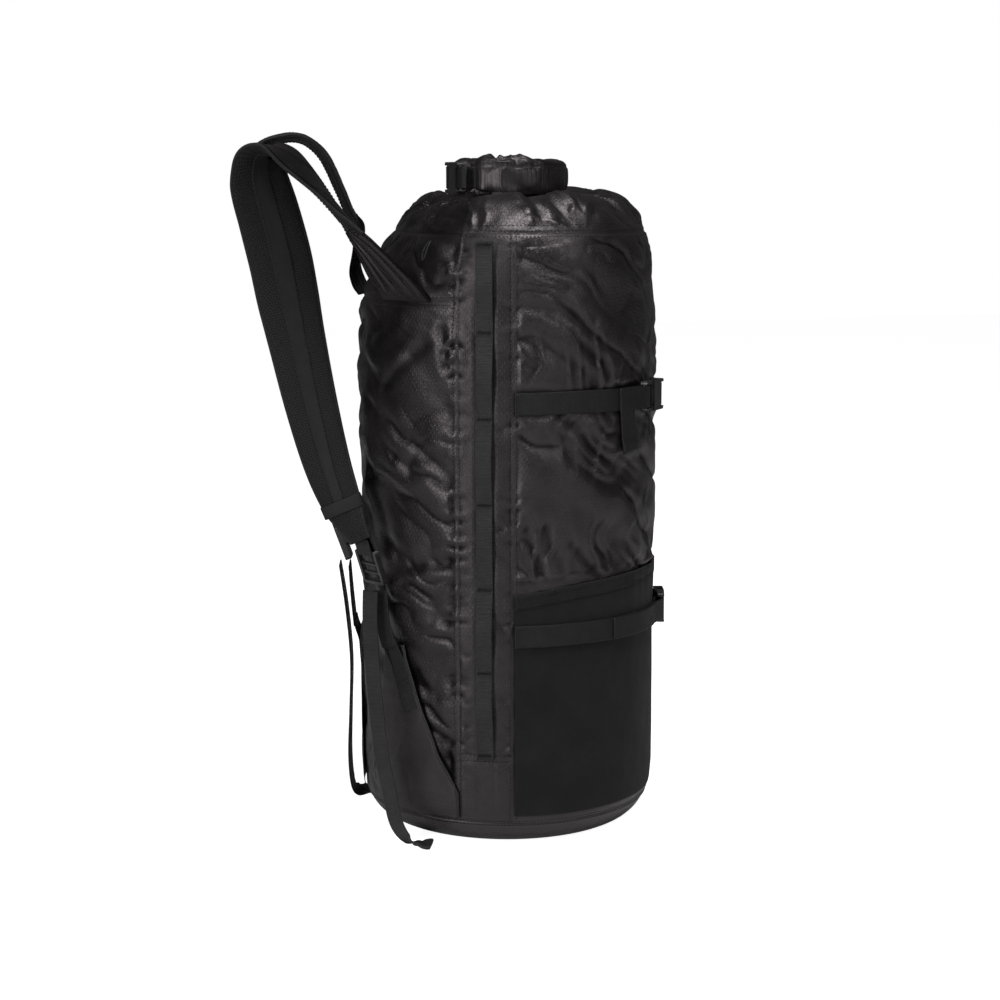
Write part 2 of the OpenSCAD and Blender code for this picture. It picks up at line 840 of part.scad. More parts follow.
strap_near(lower_strap_r, lower_strap_z, lower_buckle_angle);  // lower_strap_near
strap_far(lower_strap_r, lower_strap_z, lower_buckle_angle);  // lower_strap_far
lower_buckle_place() buckle_female();  // lower_buckle_female
lower_buckle_place() buckle_male();  // lower_buckle_male
lower_buckle_place() buckle_prong(1);  // lower_prong_top
lower_buckle_place() buckle_prong(-1);  // lower_prong_bottom
strap_tail(lower_strap_r, lower_strap_z, lower_buckle_angle, lower_tail_angle);  // lower_strap_tail
mirror([1, 0, 0]) strap_cover(left_strap);  // strap_cover_left
mirror([1, 0, 0]) strap_foam(left_strap);  // strap_foam_left
mirror([1, 0, 0]) strap_mesh(left_strap);  // strap_mesh_left
mirror([1, 0, 0]) strap_binding(left_strap);  // strap_binding_left
strap_cover(right_strap);  // strap_cover_right
strap_foam(right_strap);  // strap_foam_right
strap_mesh(right_strap);  // strap_mesh_right
strap_binding(right_strap);  // strap_binding_right
union() {  // strap_anchors
    mirror([1, 0, 0]) strap_anchor(left_anchor);
    strap_anchor(right_anchor);
}
mirror([1, 0, 0]) ladder_lock(left_lock);  // ladder_lock_left
ladder_lock(right_lock);  // ladder_lock_right
mirror([1, 0, 0]) harness_webbing(left_webbing, left_lock);  // harness_webbing_left
harness_webbing(right_webbing, right_lock);  // harness_webbing_right
mirror([1, 0, 0]) harness_tail(left_tail);  // harness_tail_left
harness_tail(right_tail);  // harness_tail_right
strap_wings();
wing_webbing();
hose_port();
mirror([1, 0, 0]) side_loop();  // side_loop_left
side_loop();  // side_loop_right
side_loop_tabs();
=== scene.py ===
"""Looks of a roll-top compression sack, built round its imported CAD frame.

Metres, in the frame's axes: +Z up, +Y the back panel, -Y the front, -X the wearer's left.
Angles round the sack are in degrees from +X toward +Y; lengths in millimetres are times MM.
"""
import json
import math

import bmesh
import bpy
import numpy as np
from mathutils import Matrix, Vector

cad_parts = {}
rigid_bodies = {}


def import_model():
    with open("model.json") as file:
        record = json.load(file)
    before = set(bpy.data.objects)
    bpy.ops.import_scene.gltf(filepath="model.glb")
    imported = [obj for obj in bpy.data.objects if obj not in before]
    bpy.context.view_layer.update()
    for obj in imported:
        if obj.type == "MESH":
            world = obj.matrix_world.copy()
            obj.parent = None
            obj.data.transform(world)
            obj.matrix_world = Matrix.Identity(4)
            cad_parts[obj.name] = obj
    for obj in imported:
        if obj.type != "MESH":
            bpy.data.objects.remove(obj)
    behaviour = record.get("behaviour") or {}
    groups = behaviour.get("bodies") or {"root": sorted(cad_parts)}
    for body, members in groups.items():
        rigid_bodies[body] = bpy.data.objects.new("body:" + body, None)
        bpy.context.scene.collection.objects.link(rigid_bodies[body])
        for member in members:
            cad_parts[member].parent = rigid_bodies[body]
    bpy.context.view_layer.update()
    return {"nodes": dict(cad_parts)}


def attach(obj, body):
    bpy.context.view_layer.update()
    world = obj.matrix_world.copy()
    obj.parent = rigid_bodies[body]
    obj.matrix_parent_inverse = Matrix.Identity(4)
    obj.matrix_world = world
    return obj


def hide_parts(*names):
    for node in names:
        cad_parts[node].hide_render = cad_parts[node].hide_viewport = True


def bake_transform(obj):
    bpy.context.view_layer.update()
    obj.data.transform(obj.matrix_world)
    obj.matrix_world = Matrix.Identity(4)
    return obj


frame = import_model()

MM = 0.001
SACK_R = 137.0                   # millimetres, as in the CAD
UP = np.array([0.0, 0.0, 1.0])
MIRROR = np.array([-1, 1, 1])    # turns what is drawn for the right side into the left one


# ---- small tools ----

def lattice(ix, iy, iz, seed):
    """A fixed value between -1 and 1 for each whole-numbered point."""
    n = (ix * 73856093) ^ (iy * 19349663) ^ (iz * 83492791) ^ (seed * 40503)
    n = (n ^ (n >> 13)) & 0xFFFFFFFF
    n = (n * 1274126177) & 0xFFFFFFFF
    n = (n ^ (n >> 16)) & 0xFFFFFFFF
    return n / 2147483648.0 - 1.0


def noise(x, y, z=0.0, seed=0):
    """Smooth noise between -1 and 1, with features about one unit apart."""
    x, y, z = np.broadcast_arrays(np.asarray(x, float), np.asarray(y, float), np.asarray(z, float))
    cell = [np.floor(v).astype(np.int64) for v in (x, y, z)]
    share = [v - c for v, c in zip((x, y, z), cell)]
    share = [t * t * t * (t * (6 * t - 15) + 10) for t in share]
    total = np.zeros(x.shape)
    for dx in (0, 1):
        for dy in (0, 1):
            for dz in (0, 1):
                weight = ((share[0] if dx else 1 - share[0]) * (share[1] if dy else 1 - share[1])
                          * (share[2] if dz else 1 - share[2]))
                total += weight * lattice(cell[0] + dx, cell[1] + dy, cell[2] + dz, seed)
    return total


def smooth(x, low, high):
    """0 below low, 1 above high, and an easy curve between them."""
    t = np.clip((np.asarray(x, float) - low) / (high - low), 0, 1)
    return t * t * (3 - 2 * t)


def unit(v):
    v = np.asarray(v, float)
    return v / np.maximum(np.linalg.norm(v, axis=-1, keepdims=True), 1e-12)


def curve(points, steps):
    """Smooth curve through rows of numbers, with that many steps between two rows."""
    p = np.array(points, float)
    rows = []
    for i in range(len(p) - 1):
        a, b, c, d = p[max(i - 1, 0)], p[i], p[i + 1], p[min(i + 2, len(p) - 1)]
        for k in range(steps):
            u = k / steps
            rows.append(0.5 * (2 * b + (c - a) * u + (2 * a - 5 * b + 4 * c - d) * u ** 2
                               + (3 * b - a - 3 * c + d) * u ** 3))
    rows.append(p[-1])
    return np.array(rows)


def along(points):
    """Distance along a line of points, from its first."""
    steps = np.linalg.norm(np.diff(points, axis=0), axis=1)
    return np.concatenate([[0.0], np.cumsum(steps)])


def grid_faces(rows, cols, closed=False):
    """Quads of a grid of points, whose columns may close in a ring."""
    r = np.arange(rows - 1)[:, None]
    c = np.arange(cols if closed else cols - 1)[None, :]
    a, b = r * cols + c, r * cols + (c + 1) % cols
    return np.stack([a, b, b + cols, a + cols], -1).reshape(-1, 4)


def new_object(name, verts, faces, uv=None, material=None, soft=True):
    mesh = bpy.data.meshes.new(name)
    mesh.from_pydata(np.asarray(verts, float).tolist(), [], [list(map(int, f)) for f in faces])
    mesh.update()
    if uv is not None:
        layer = mesh.uv_layers.new(name="UVMap")
        loops = np.zeros(len(mesh.loops), np.int64)
        mesh.loops.foreach_get("vertex_index", loops)
        layer.data.foreach_set("uv", np.asarray(uv, np.float32)[loops].ravel())
    if soft:
        mesh.polygons.foreach_set("use_smooth", [True] * len(mesh.polygons))
    obj = bpy.data.objects.new(name, mesh)
    bpy.context.scene.collection.objects.link(obj)
    if material:
        mesh.materials.append(material)
    return obj


def apply_modifiers(obj):
    """Makes the modifiers' result the object's own mesh."""
    bpy.context.view_layer.update()
    evaluated = obj.evaluated_get(bpy.context.evaluated_depsgraph_get())
    mesh = bpy.data.meshes.new_from_object(evaluated)
    obj.modifiers.clear()
    obj.data = mesh
    return obj


def place(obj, body, slot, *nodes):
    """Rides obj on a body, and hides the CAD nodes it stands for."""
    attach(obj, body)
    if nodes:
        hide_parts(*nodes)
    return obj


def sweep(name, centre, wide, out, section, material, tips=True):
    """Solid strip along a line. section is (rows, corners, 2) or (corners, 2): wide, out."""
    centre = np.asarray(centre, float)
    n = len(centre)
    section = np.broadcast_to(section, (n,) + np.shape(section)[-2:])
    k = section.shape[1]
    verts = (centre[:, None] + wide[:, None] * section[..., :1] + out[:, None] * section[..., 1:])
    faces = grid_faces(n, k, closed=True).tolist()
    if tips:
        faces.append(list(range(k))[::-1])
        faces.append([(n - 1) * k + i for i in range(k)])
    uv = np.stack([np.broadcast_to(along(centre)[:, None], (n, k)), section[..., 0]], -1)
    return new_object(name, verts.reshape(-1, 3), faces, uv.reshape(-1, 2), material)


def web_section(width, thickness):
    """Outline of woven webbing: flat, with rounded and slightly thicker edges."""
    across = width / 2 * np.array([-1, -0.985, -0.93, -0.8, -0.4, 0, 0.4, 0.8, 0.93, 0.985])
    up = thickness / 2 * np.array([0, 0.75, 1.12, 1.0, 1.0, 1.0, 1.0, 1.0, 1.12, 0.75])
    half = np.stack([across, up], -1)
    return np.concatenate([half, -half])[::-1]


def frames(centre, flat):
    """Width, outward and forward directions of a band, from rough width directions."""
    d = unit(np.gradient(centre, axis=0))
    wide = unit(flat - np.sum(flat * d, -1, keepdims=True) * d)
    return wide, np.cross(wide, d), d


def apart(phi, column):
    """Degrees between two angles, the short way round."""
    return np.abs((phi - column + 180) % 360 - 180)


def arc_apart(phi, column):
    """Millimetres between two angles, round the sack."""
    return apart(phi, column) * math.radians(1) * SACK_R


def on_pole(phi, r, z):
    """Points at angles, radii and heights."""
    a = np.radians(phi)
    return np.stack(np.broadcast_arrays(r * np.cos(a), r * np.sin(a), z), -1)


def half_turn(first, last, step, r, middle=(0, 0)):
    """Points on a bend of radius r, from one angle in degrees to another."""
    return [np.asarray(middle) + r * np.array([math.cos(a), math.sin(a)])
            for a in np.radians(np.arange(first, last, step))]


def mirrored(side, *vectors):
    """Vectors drawn for the right side, as they are on the given one."""
    return [v * MIRROR for v in vectors] if side == "left" else list(vectors)


def facing_out(side, outline):
    """A section's corners in the order that turns its faces outward on that side."""
    return outline if side == "left" else outline[..., ::-1, :]


# ---- materials ----

class Finish:
    """A node-based material, built up one node at a time."""

    def __init__(self, name, colour, rough, specular=0.5):
        self.material = bpy.data.materials.new(name)
        self.material.use_nodes = True
        self.tree = self.material.node_tree
        self.shader = self.tree.nodes["Principled BSDF"]
        self.shader.inputs["Roughness"].default_value = rough
        self.shader.inputs["Specular IOR Level"].default_value = specular
        self.shader.inputs["Base Color"].default_value = (*colour, 1)
        self.height = None

    def node(self, kind, settings=None, **inputs):
        """A new node; i0, i1 and so on are its inputs by number."""
        made = self.tree.nodes.new("ShaderNode" + kind)
        for key, value in (settings or {}).items():
            setattr(made, key, value)
        for key, value in inputs.items():
            numbered = key[0] == "i" and key[1:].isdigit()
            socket = made.inputs[int(key[1:]) if numbered else key]
            if isinstance(value, bpy.types.NodeSocket):
                self.tree.links.new(value, socket)
            else:
                socket.default_value = value
        return made

    def math(self, operation, a, b=0.0, c=0.0):
        return self.node("Math", {"operation": operation}, i0=a, i1=b, i2=c).outputs[0]

    def uv(self):
        return self.node("UVMap").outputs["UV"]

    def objects(self):
        return self.node("TexCoord").outputs["Object"]

    def cosines(self, where, pitch, angles):
        """Sum of cosine ridges that run at these angles, pitch apart."""
        total = None
        for angle in angles:
            a = math.radians(angle)
            step = (math.cos(a) * 2 * math.pi / pitch, math.sin(a) * 2 * math.pi / pitch, 0)
            dot = self.node("VectorMath", {"operation": "DOT_PRODUCT"}, i0=where, i1=step)
            ridge = self.math("COSINE", dot.outputs["Value"])
            total = ridge if total is None else self.math("ADD", total, ridge)
        return total

    def ramp(self, value, low, high, from_value=0.0, to_value=1.0):
        return self.node("MapRange", {"interpolation_type": "SMOOTHSTEP"}, i0=value, i1=low, i2=high,
                         i3=from_value, i4=to_value).outputs[0]

    def cloud(self, where, size, detail=3.0, rough=0.55):
        made = self.node("TexNoise", Vector=where, Scale=1 / size, Detail=detail, Roughness=rough)
        return made.outputs[0]

    def raise_by(self, value, amount):
        """Adds value times amount, in metres, to the surface's height."""
        part = self.math("MULTIPLY", value, amount)
        self.height = part if self.height is None else self.math("ADD", self.height, part)

    def colours(self, value, low, high):
        mix = self.node("Mix", {"data_type": "RGBA"}, i0=value, i6=(*low, 1), i7=(*high, 1))
        self.tree.links.new(mix.outputs[2], self.shader.inputs["Base Color"])

    def roughness(self, value, low, high):
        self.tree.links.new(self.ramp(value, 0.3, 0.7, low, high), self.shader.inputs["Roughness"])

    def sheen(self, weight, rough, tint=(1, 1, 1)):
        self.shader.inputs["Sheen Weight"].default_value = weight
        self.shader.inputs["Sheen Roughness"].default_value = rough
        self.shader.inputs["Sheen Tint"].default_value = (*tint, 1)

    def done(self, strength=1.0):
        if self.height is not None:
            bump = self.node("Bump", Strength=strength, Distance=1.0, Height=self.height)
            self.tree.links.new(bump.outputs[0], self.shader.inputs["Normal"])
        return self.material


GRID_PITCH = 3.4                 # millimetres between the ripstop's thicker threads
WEB_RIB = 1.3                    # millimetres between ribs of the webbing


def ripstop(name, shade, satin, gloss):
    """Coated nylon with a fine grid of thicker threads, slightly purple-brown in the light.

    Hollows shine less, a painted shade that cuts their reflection, so that folds read as dark lines.
    """
    f = Finish(name, (0.02, 0.018, 0.02), 0.4, gloss)
    uv = f.uv()
    grid = f.cosines(uv, GRID_PITCH * MM, (30, 90, 150))
    f.raise_by(f.ramp(grid, -1.5, -0.7, 1, 0), 0.11 * MM)
    f.raise_by(f.cosines(uv, 0.8 * MM, (0, 90)), 0.008 * MM)
    f.raise_by(f.cloud(f.objects(), 22 * MM, 4), 0.7 * MM)
    f.raise_by(f.cloud(f.objects(), 5 * MM, 3), 0.10 * MM)
    worn = f.cloud(f.objects(), 45 * MM, 5)
    f.colours(f.ramp(worn, 0.35, 0.7), (0.0045 * shade, 0.0039 * shade, 0.0042 * shade),
              (0.009 * shade, 0.0078 * shade, 0.0083 * shade))
    f.roughness(worn, 0.38 - satin, 0.5 - satin)
    # Painted shade: the reflection is cut where the surface dips in.
    hollow_shade = f.node("NewGeometry").outputs["Pointiness"]
    f.tree.links.new(f.ramp(hollow_shade, 0.455, 0.51, 0.12 * gloss, gloss),
                     f.shader.inputs["Specular IOR Level"])
    f.sheen(0.02, 0.35, (0.9, 0.84, 0.88))
    f.shader.inputs["Specular Tint"].default_value = (1.0, 0.9, 0.95, 1)
    return f.done()


def woven(name, colour, rough=0.62, lift=1.0):
    """Webbing: ribs across, finer threads along, slightly worn."""
    f = Finish(name, colour, rough, 0.3)
    f.raise_by(f.cosines(f.uv(), WEB_RIB * MM, (0,)), 0.05 * MM * lift)
    f.raise_by(f.cosines(f.uv(), 0.9 * MM, (63, 117)), 0.03 * MM * lift)
    worn = f.cloud(f.objects(), 14 * MM, 4)
    bright = tuple(1.7 * c for c in colour)
    f.colours(f.ramp(worn, 0.3, 0.75), colour, bright)
    f.sheen(0.01, 0.5)
    return f.done()


def knit(name):
    """Stretch cloth of the pocket: matt, with a fine vertical knit."""
    f = Finish(name, (0.004, 0.004, 0.0042), 0.85, 0.2)
    uv = f.uv()
    f.raise_by(f.cosines(uv, 1.1 * MM, (0,)), 0.05 * MM)
    f.raise_by(f.cosines(uv, 1.5 * MM, (60, 120)), 0.03 * MM)
    f.raise_by(f.cloud(f.objects(), 30 * MM, 3), 0.5 * MM)
    f.colours(f.ramp(f.cloud(f.objects(), 35 * MM, 4), 0.3, 0.7), (0.003, 0.003, 0.0032),
              (0.006, 0.006, 0.0063))
    f.sheen(0.05, 0.6)
    return f.done()


def spacer(name):
    """Spacer mesh: a net of round holes over a padded ground, the holes painted darker as shade."""
    f = Finish(name, (0.006, 0.006, 0.0063), 0.8, 0.25)
    hole = f.ramp(f.cosines(f.uv(), 2.3 * MM, (0, 60, 120)), 0.0, 1.6)
    f.raise_by(hole, -0.6 * MM)
    # Painted shade: the holes are coloured darker, as the shade inside them.
    f.colours(hole, (0.009, 0.009, 0.0095), (0.001, 0.001, 0.001))
    f.sheen(0.01, 0.6)
    return f.done()


def moulded(name, shade=0.011):
    """Black acetal: smooth, with a faint spark-eroded grain and lighter patches at random."""
    f = Finish(name, (shade, shade, shade * 1.03), 0.36, 0.5)
    where = f.objects()
    f.raise_by(f.cloud(where, 0.5 * MM, 2), 0.012 * MM)
    f.roughness(f.cloud(where, 9 * MM, 4), 0.27, 0.45)
    f.colours(f.ramp(f.cloud(where, 12 * MM, 4), 0.3, 0.75), (shade,) * 3, (shade * 1.6,) * 3)
    return f.done()


def plain_cloth(name, colour, rough, pitch):
    """Tape or thread: one fine even grain at the given pitch in millimetres."""
    f = Finish(name, colour, rough, 0.3)
    where = f.objects()
    f.raise_by(f.cloud(where, pitch * MM, 3), 0.12 * pitch * MM)
    f.colours(f.ramp(f.cloud(where, 15 * MM, 4), 0.3, 0.7), colour, tuple(1.5 * c for c in colour))
    f.sheen(0.04, 0.5)
    return f.done()


def floor_finish():
    """Pale floor that stays nearly white to the camera and still takes a shadow."""
    f = Finish("floor", (0.8, 0.8, 0.8), 0.75, 0.1)
    seen = f.node("LightPath").outputs["Is Camera Ray"]
    f.tree.links.new(f.math("MULTIPLY", seen, 0.93), f.shader.inputs["Emission Strength"])
    f.shader.inputs["Emission Color"].default_value = (1, 1, 1, 1)
    f.raise_by(f.cloud(f.objects(), 2 * MM, 2), 0.01 * MM)
    return f.done()


RIPSTOP = ripstop("ripstop", 1.0, 0.03, 0.6)
SATIN = ripstop("ripstop_satin", 0.7, 0.08, 0.42)
# Lighter, glossier copy of the ripstop for the roll's smooth right half; its lighter colour is painted
# light.
LIT_ROLL_RIPSTOP = ripstop("ripstop_roll_painted_light", 1.2, 0.08, 0.65)
LIGHT_STRIP = ripstop("ripstop_strip", 1.0, -0.02, 0.5)
WEBBING = woven("webbing", (0.0035, 0.0033, 0.0036))
# Paler copy of the webbing, with a stronger weave: its lighter colour is painted light, the lit look of
# daisy chains, harness tails and wing edges.
LIT_WEBBING = woven("webbing_painted_light", (0.0085, 0.0082, 0.0087), 0.52, lift=1.8)
KNIT = knit("stretch_knit")
MESH = spacer("spacer_mesh")
PLASTIC = moulded("moulded_plastic")
BINDING = plain_cloth("binding_tape", (0.004, 0.004, 0.0042), 0.7, 0.9)
THREAD = plain_cloth("thread", (0.003, 0.003, 0.003), 0.7, 0.4)
STIFF = moulded("stiffener_sheet", 0.05)


# ---- the sewn body: one skin, then cut into its panels ----

# Profile at a few heights: [front radius, front height, back radius, back height].
# The back slopes more than the front above the yoke, as the load hangs from the front.
PROFILE = [
    [0, 0, 0, 0], [60, 0, 60, 0], [104, 0.3, 104, 0.3], [113, 1.5, 113, 1.5], [120, 4.5, 120, 4.5],
    [127, 11, 127, 11], [132, 19, 132, 19], [134.3, 23, 134.3, 23], [136, 34, 136, 34],
    [137, 50, 137, 50], [137, 84, 137, 84], [137, 140, 137, 140], [137, 196, 137, 196],
    [137, 250, 137, 250], [137, 320, 137, 320], [137, 403, 137, 403], [137, 450, 136.5, 445],
    [137, 490, 133, 490], [137, 515, 122, 512], [134.8, 532, 109, 530], [131, 542, 101.5, 541],
    [127.5, 550, 95.5, 549.5], [121, 560.5, 87.5, 559], [112, 570, 77, 567], [101, 578, 66, 573],
    [88, 583.5, 56, 577], [74, 586.5, 48, 579.5], [60, 587, 41, 582], [48, 585, 36, 584],
    [38, 586, 30, 587], [29, 592, 26, 592], [26, 600, 25, 600], [17, 603.5, 17, 603.5],
    [8, 602, 8, 602], [0.6, 600, 0.6, 600],
]
BOTTOM_SEAM, FOOT_SEAM, YOKE_SEAM, TOP_SEAM, NECK_SEAM = 7, 10, 17, 21, 28
DOME_TOP = 26                    # last station that is still on the dome, before it dips to the neck
ROW_STEP = 4.4                   # millimetres between rows of the skin, before it is refined
# Seams of the side strips: the right one's front and back edge, the left one's back and front
RIGHT_FRONT, RIGHT_BACK, LEFT_BACK, LEFT_FRONT = STRIP_SEAMS = 17.5, 39, 141, 162.5
STRIP_WIDE = 21.5                # degrees that a strip spans
# Columns: from, to and count, so that the strips' seams fall on columns
SECTORS = [(RIGHT_FRONT, RIGHT_BACK, 15), (RIGHT_BACK, LEFT_BACK, 68), (LEFT_BACK, LEFT_FRONT, 15),
           (LEFT_FRONT, RIGHT_FRONT + 360, 144)]
UPPER_Z, LOWER_Z = 403, 196      # heights of the compression straps
STRIP_MID = 28.25                # middle of a side strip, in degrees
POCKET_TOP, HEM = 243, 12        # height of the pocket's edge, and of its binding
POCKET_FROM, POCKET_TO = 162.9, 377.1    # angles at which pocket and straps are sewn in
WALL_TOP = 549                   # height under which the skin is still the sack's wall


def skin_rows():
    """Station numbers of the rows, a fixed distance apart and with a row on every station."""
    values = []
    for i in range(len(PROFILE) - 1):
        a, b = PROFILE[i], PROFILE[i + 1]
        length = max(math.dist(a[:2], b[:2]), math.dist(a[2:], b[2:]))
        count = max(1, math.ceil(length / ROW_STEP))
        values += [i + k / count for k in range(count)]
    return np.array(values + [len(PROFILE) - 1])


def skin_columns():
    """Angles of the columns, in degrees."""
    values = []
    for low, high, count in SECTORS:
        values += [low + (high - low) * k / count for k in range(count)]
    return np.array(values)


def finer(values, closed=False):
    """Twice as many rows along the first axis, on a smooth curve through the given ones."""
    if closed:
        padded = np.concatenate([values[-1:], values, values[:2]])
    else:
        before, after = 2 * values[:1] - values[1:2], 2 * values[-1:] - values[-2:-1]
        padded = np.concatenate([before, values, after])
    a, b, c, d = padded[:-3], padded[1:-2], padded[2:-1], padded[3:]
    middle = (9 * (b + c) - a - d) / 16
    ours = values if closed else values[:-1]
    out = np.stack([ours, middle[:len(ours)]], 1).reshape((-1,) + values.shape[1:])
    return out if closed else np.concatenate([out, values[-1:]])


def skin_base(rows, columns):
    """Points of the unfolded skin, as [row, column, xyz] in millimetres."""
    table = np.array(PROFILE, float)
    stations = np.arange(len(table))
    dense = curve(np.column_stack([table, stations]), 12)
    front_r, front_z, back_r, back_z = [np.interp(rows, dense[:, 4], dense[:, k])[:, None]
                                        for k in range(4)]
    back = np.clip((np.sin(np.radians(columns)) - 0.28) / 0.72, 0, 1) ** 2.0
    return on_pole(columns, front_r * (1 - back) + back_r * back, front_z * (1 - back) + back_z * back)


def normals_of(grid):
    """Outward normals of a closed grid [row, column, xyz]."""
    across = np.roll(grid, -1, 1) - np.roll(grid, 1, 1)
    up = np.gradient(grid, axis=0)
    n = np.cross(across, up)
    n[:2] = (0, 0, -1)
    return unit(n)


def seam_share(rows, columns, width):
    """1 away from every seam and 0 on one, as [row, column]; width in degrees and stations."""
    share = np.ones((len(rows), len(columns)))
    body = (rows > FOOT_SEAM - 3) & (rows < TOP_SEAM + 0.01)
    for column in STRIP_SEAMS:
        near = smooth(apart(columns, column), 0, width)
        share[body] = np.minimum(share[body], near[None])
    return share


SIM_FRAMES = 18                  # frames that the cloth is given to settle
SWELL_CAP = 6.0                  # millimetres that the cloth may move


def simulate_skin(grid, rows, columns):
    """Lets the skin, a little too large for its seams, swell and wrinkle as cloth."""
    obj = new_object("skin_cloth", grid.reshape(-1, 3) * MM, grid_faces(*grid.shape[:2], closed=True))
    share = seam_share(rows, columns, 2.0)
    for station in (BOTTOM_SEAM, YOKE_SEAM, TOP_SEAM, NECK_SEAM):
        close = smooth(np.abs(rows - station), 0, 0.3)[:, None]
        if station == YOKE_SEAM:
            close = np.where((columns > RIGHT_BACK) & (columns < LEFT_BACK), close, 1)
        share = np.minimum(share, close)
    under_strap = (columns > LEFT_FRONT)[None] & (rows > BOTTOM_SEAM)[:, None]
    for height in (UPPER_Z, LOWER_Z):
        held = smooth(np.abs(grid[..., 2] - height), 9, 15)
        share = np.where(under_strap, np.minimum(share, held), share)
    share[rows <= BOTTOM_SEAM] = 0
    share[rows >= NECK_SEAM] = 0
    pins = obj.vertex_groups.new(name="pins")
    hold = np.round((1 - share).ravel(), 1)
    for level in np.unique(hold):
        pins.add(np.nonzero(hold == level)[0].tolist(), float(level), "REPLACE")
    cloth = obj.modifiers.new("cloth", "CLOTH")
    s = cloth.settings
    s.quality = 6
    s.mass = 0.2
    s.tension_stiffness = s.compression_stiffness = 12
    s.shear_stiffness = 4
    s.bending_stiffness = 0.25
    s.use_pressure = True
    s.uniform_pressure_force = 4
    s.effector_weights.gravity = 0
    s.vertex_group_mass = "pins"
    s.pin_stiffness = 4
    s.shrink_min = -0.035
    scene = bpy.context.scene
    scene.frame_start, scene.frame_end = 1, SIM_FRAMES
    for step in range(1, SIM_FRAMES + 1):
        scene.frame_set(step)
    apply_modifiers(obj)
    out = np.zeros(grid.size)
    obj.data.vertices.foreach_get("co", out)
    scene.frame_set(1)
    bpy.data.objects.remove(obj)
    moved = out.reshape(grid.shape) / MM - grid
    length = np.linalg.norm(moved, axis=-1, keepdims=True)
    return grid + moved * np.minimum(1, SWELL_CAP / np.maximum(length, 1e-6))


# Creases on the left side: width, depth (both in millimetres), then points of [angle, height].
# Each is a groove with a soft ridge along its right-hand side.
CREASES = [
    [8, 3.4, (97, 394), (122, 368), (139, 335)], [6, 2.0, (100, 381), (113, 353)],
    [5, 1.6, (135, 467), (137.5, 434)], [7, 2.2, (128, 453), (107, 414)],
    [8, 3.0, (107, 240), (124, 256), (140, 263)], [6, 1.8, (110, 268), (125, 255)],
    [6, 2.2, (118, 241), (128, 228), (136, 206)], [6, 2.0, (115, 227), (130, 209)],
    [8, 3.6, (122, 153), (127, 140), (130, 109)], [6, 2.4, (132, 134), (134, 102), (138, 70)],
    [7, 2.4, (163.5, 460), (175, 450), (188, 435)], [7, 2.2, (165, 487), (193, 476)],
    [8, 2.6, (166, 532), (190, 492)], [7, 2.8, (180, 395), (196, 359), (211, 333)],
    [6, 2.6, (167, 290), (170, 265), (174, 246)], [6, 2.2, (174, 292), (178, 268), (182, 251)],
    [6, 2.2, (185, 277), (198, 246)], [7, 2.2, (197, 272), (212, 247)],
    [7, 2.8, (149.5, 554), (159, 570), (171, 580)], [6, 2.2, (171, 581), (175, 562)],
    [6, 2.2, (190, 453), (202, 425)], [6, 2.0, (180, 467), (197, 439)],
    [8, 2.4, (205, 540), (226, 500), (238, 470)], [7, 2.2, (214, 390), (226, 350), (240, 325)],
    [8, 2.2, (222, 300), (236, 262)], [8, 2.2, (96, 455), (112, 480)],
    [8, 2.4, (94, 330), (104, 300), (108, 270)], [8, 2.2, (92, 180), (108, 150)],
]


def groove(distance, width):
    """1 on a line, falling away softly beside it."""
    return np.exp(-(distance / width) ** 2)


def crease_depth(phi, z, other_side):
    """Height in millimetres that all the creases add at these angles and heights."""
    total = np.zeros(phi.shape)
    phi = (180 - phi) % 360 if other_side else phi % 360
    x, y = np.radians(phi) * SACK_R, z
    for k, (width, depth, *points) in enumerate(CREASES):
        shift = np.array([4.0, 7.0]) * math.sin(2.3 * k + 1) if other_side else np.zeros(2)
        line = [np.array([math.radians(a) * SACK_R, h]) + shift for a, h in points]
        near = np.full(phi.shape, 1e9)
        side = np.zeros(phi.shape)
        for a, b in zip(line[:-1], line[1:]):
            length = np.linalg.norm(b - a)
            d = (b - a) / length
            u = (x - a[0]) * d[0] + (y - a[1]) * d[1]
            inside = np.clip(u, 0, length)
            dx, dy = x - a[0] - inside * d[0], y - a[1] - inside * d[1]
            distance = np.hypot(dx, dy)
            closer = distance < near
            near = np.where(closer, distance, near)
            side = np.where(closer, dx * d[1] - dy * d[0], side)
        w = width * (1 + 0.25 * noise(x / 30, y / 30, 0, 31 + k))
        total -= depth * groove(near, w)
        total += 0.4 * depth * groove(near - 1.5 * w, 1.3 * w) * smooth(side, -4, 4)
    return total


def gathers(phi, z):
    """Small folds square to what gathers the cloth: straps, hem, roll, and puckers at the seams."""
    arc = np.radians(phi) * SACK_R
    front = smooth(phi, 163, 172) * (1 - smooth(phi, 368, 377))
    total = np.zeros(phi.shape)
    for height, reach, amount in ((UPPER_Z, 46, 2.2), (LOWER_Z, 30, 0.5), (POCKET_TOP, 46, 1.6)):
        near = np.exp(-((np.abs(z - height) - 10) / reach) ** 2) * (np.abs(z - height) > 6)
        away = (z - height) * np.sign(z - height + 0.01)
        lean = arc + 0.35 * away * noise(arc / 70, 0 * z, 0, 5)
        lean = lean + 9 * noise(arc / 34, z / 20, 0, 6)
        fold = 0.7 - 2 * np.abs(noise(lean / 12, z / 70, 0, 11 + height))
        total += front * near * amount * fold * (z > 200)
    top = smooth(z, 545, 562) * (1 - smooth(z, 583, 590))
    x, y = on_pole(phi, SACK_R, z)[..., :2].transpose(2, 0, 1)
    crumple = noise(x / 13 + noise(x / 20, y / 20, z / 20, 45), y / 13, z / 8, 44)
    total += 1.5 * smooth(z, 500, 560) * np.abs(crumple)
    rays = noise(phi / 13 + noise(phi / 20, z / 12, 0, 4), z / 60, 0, 3)
    total += top * 2.4 * (1 - 2 * np.abs(rays))
    return total


FOLD_LEAN = math.radians(32)     # how far the slack folds fall from level, toward the front


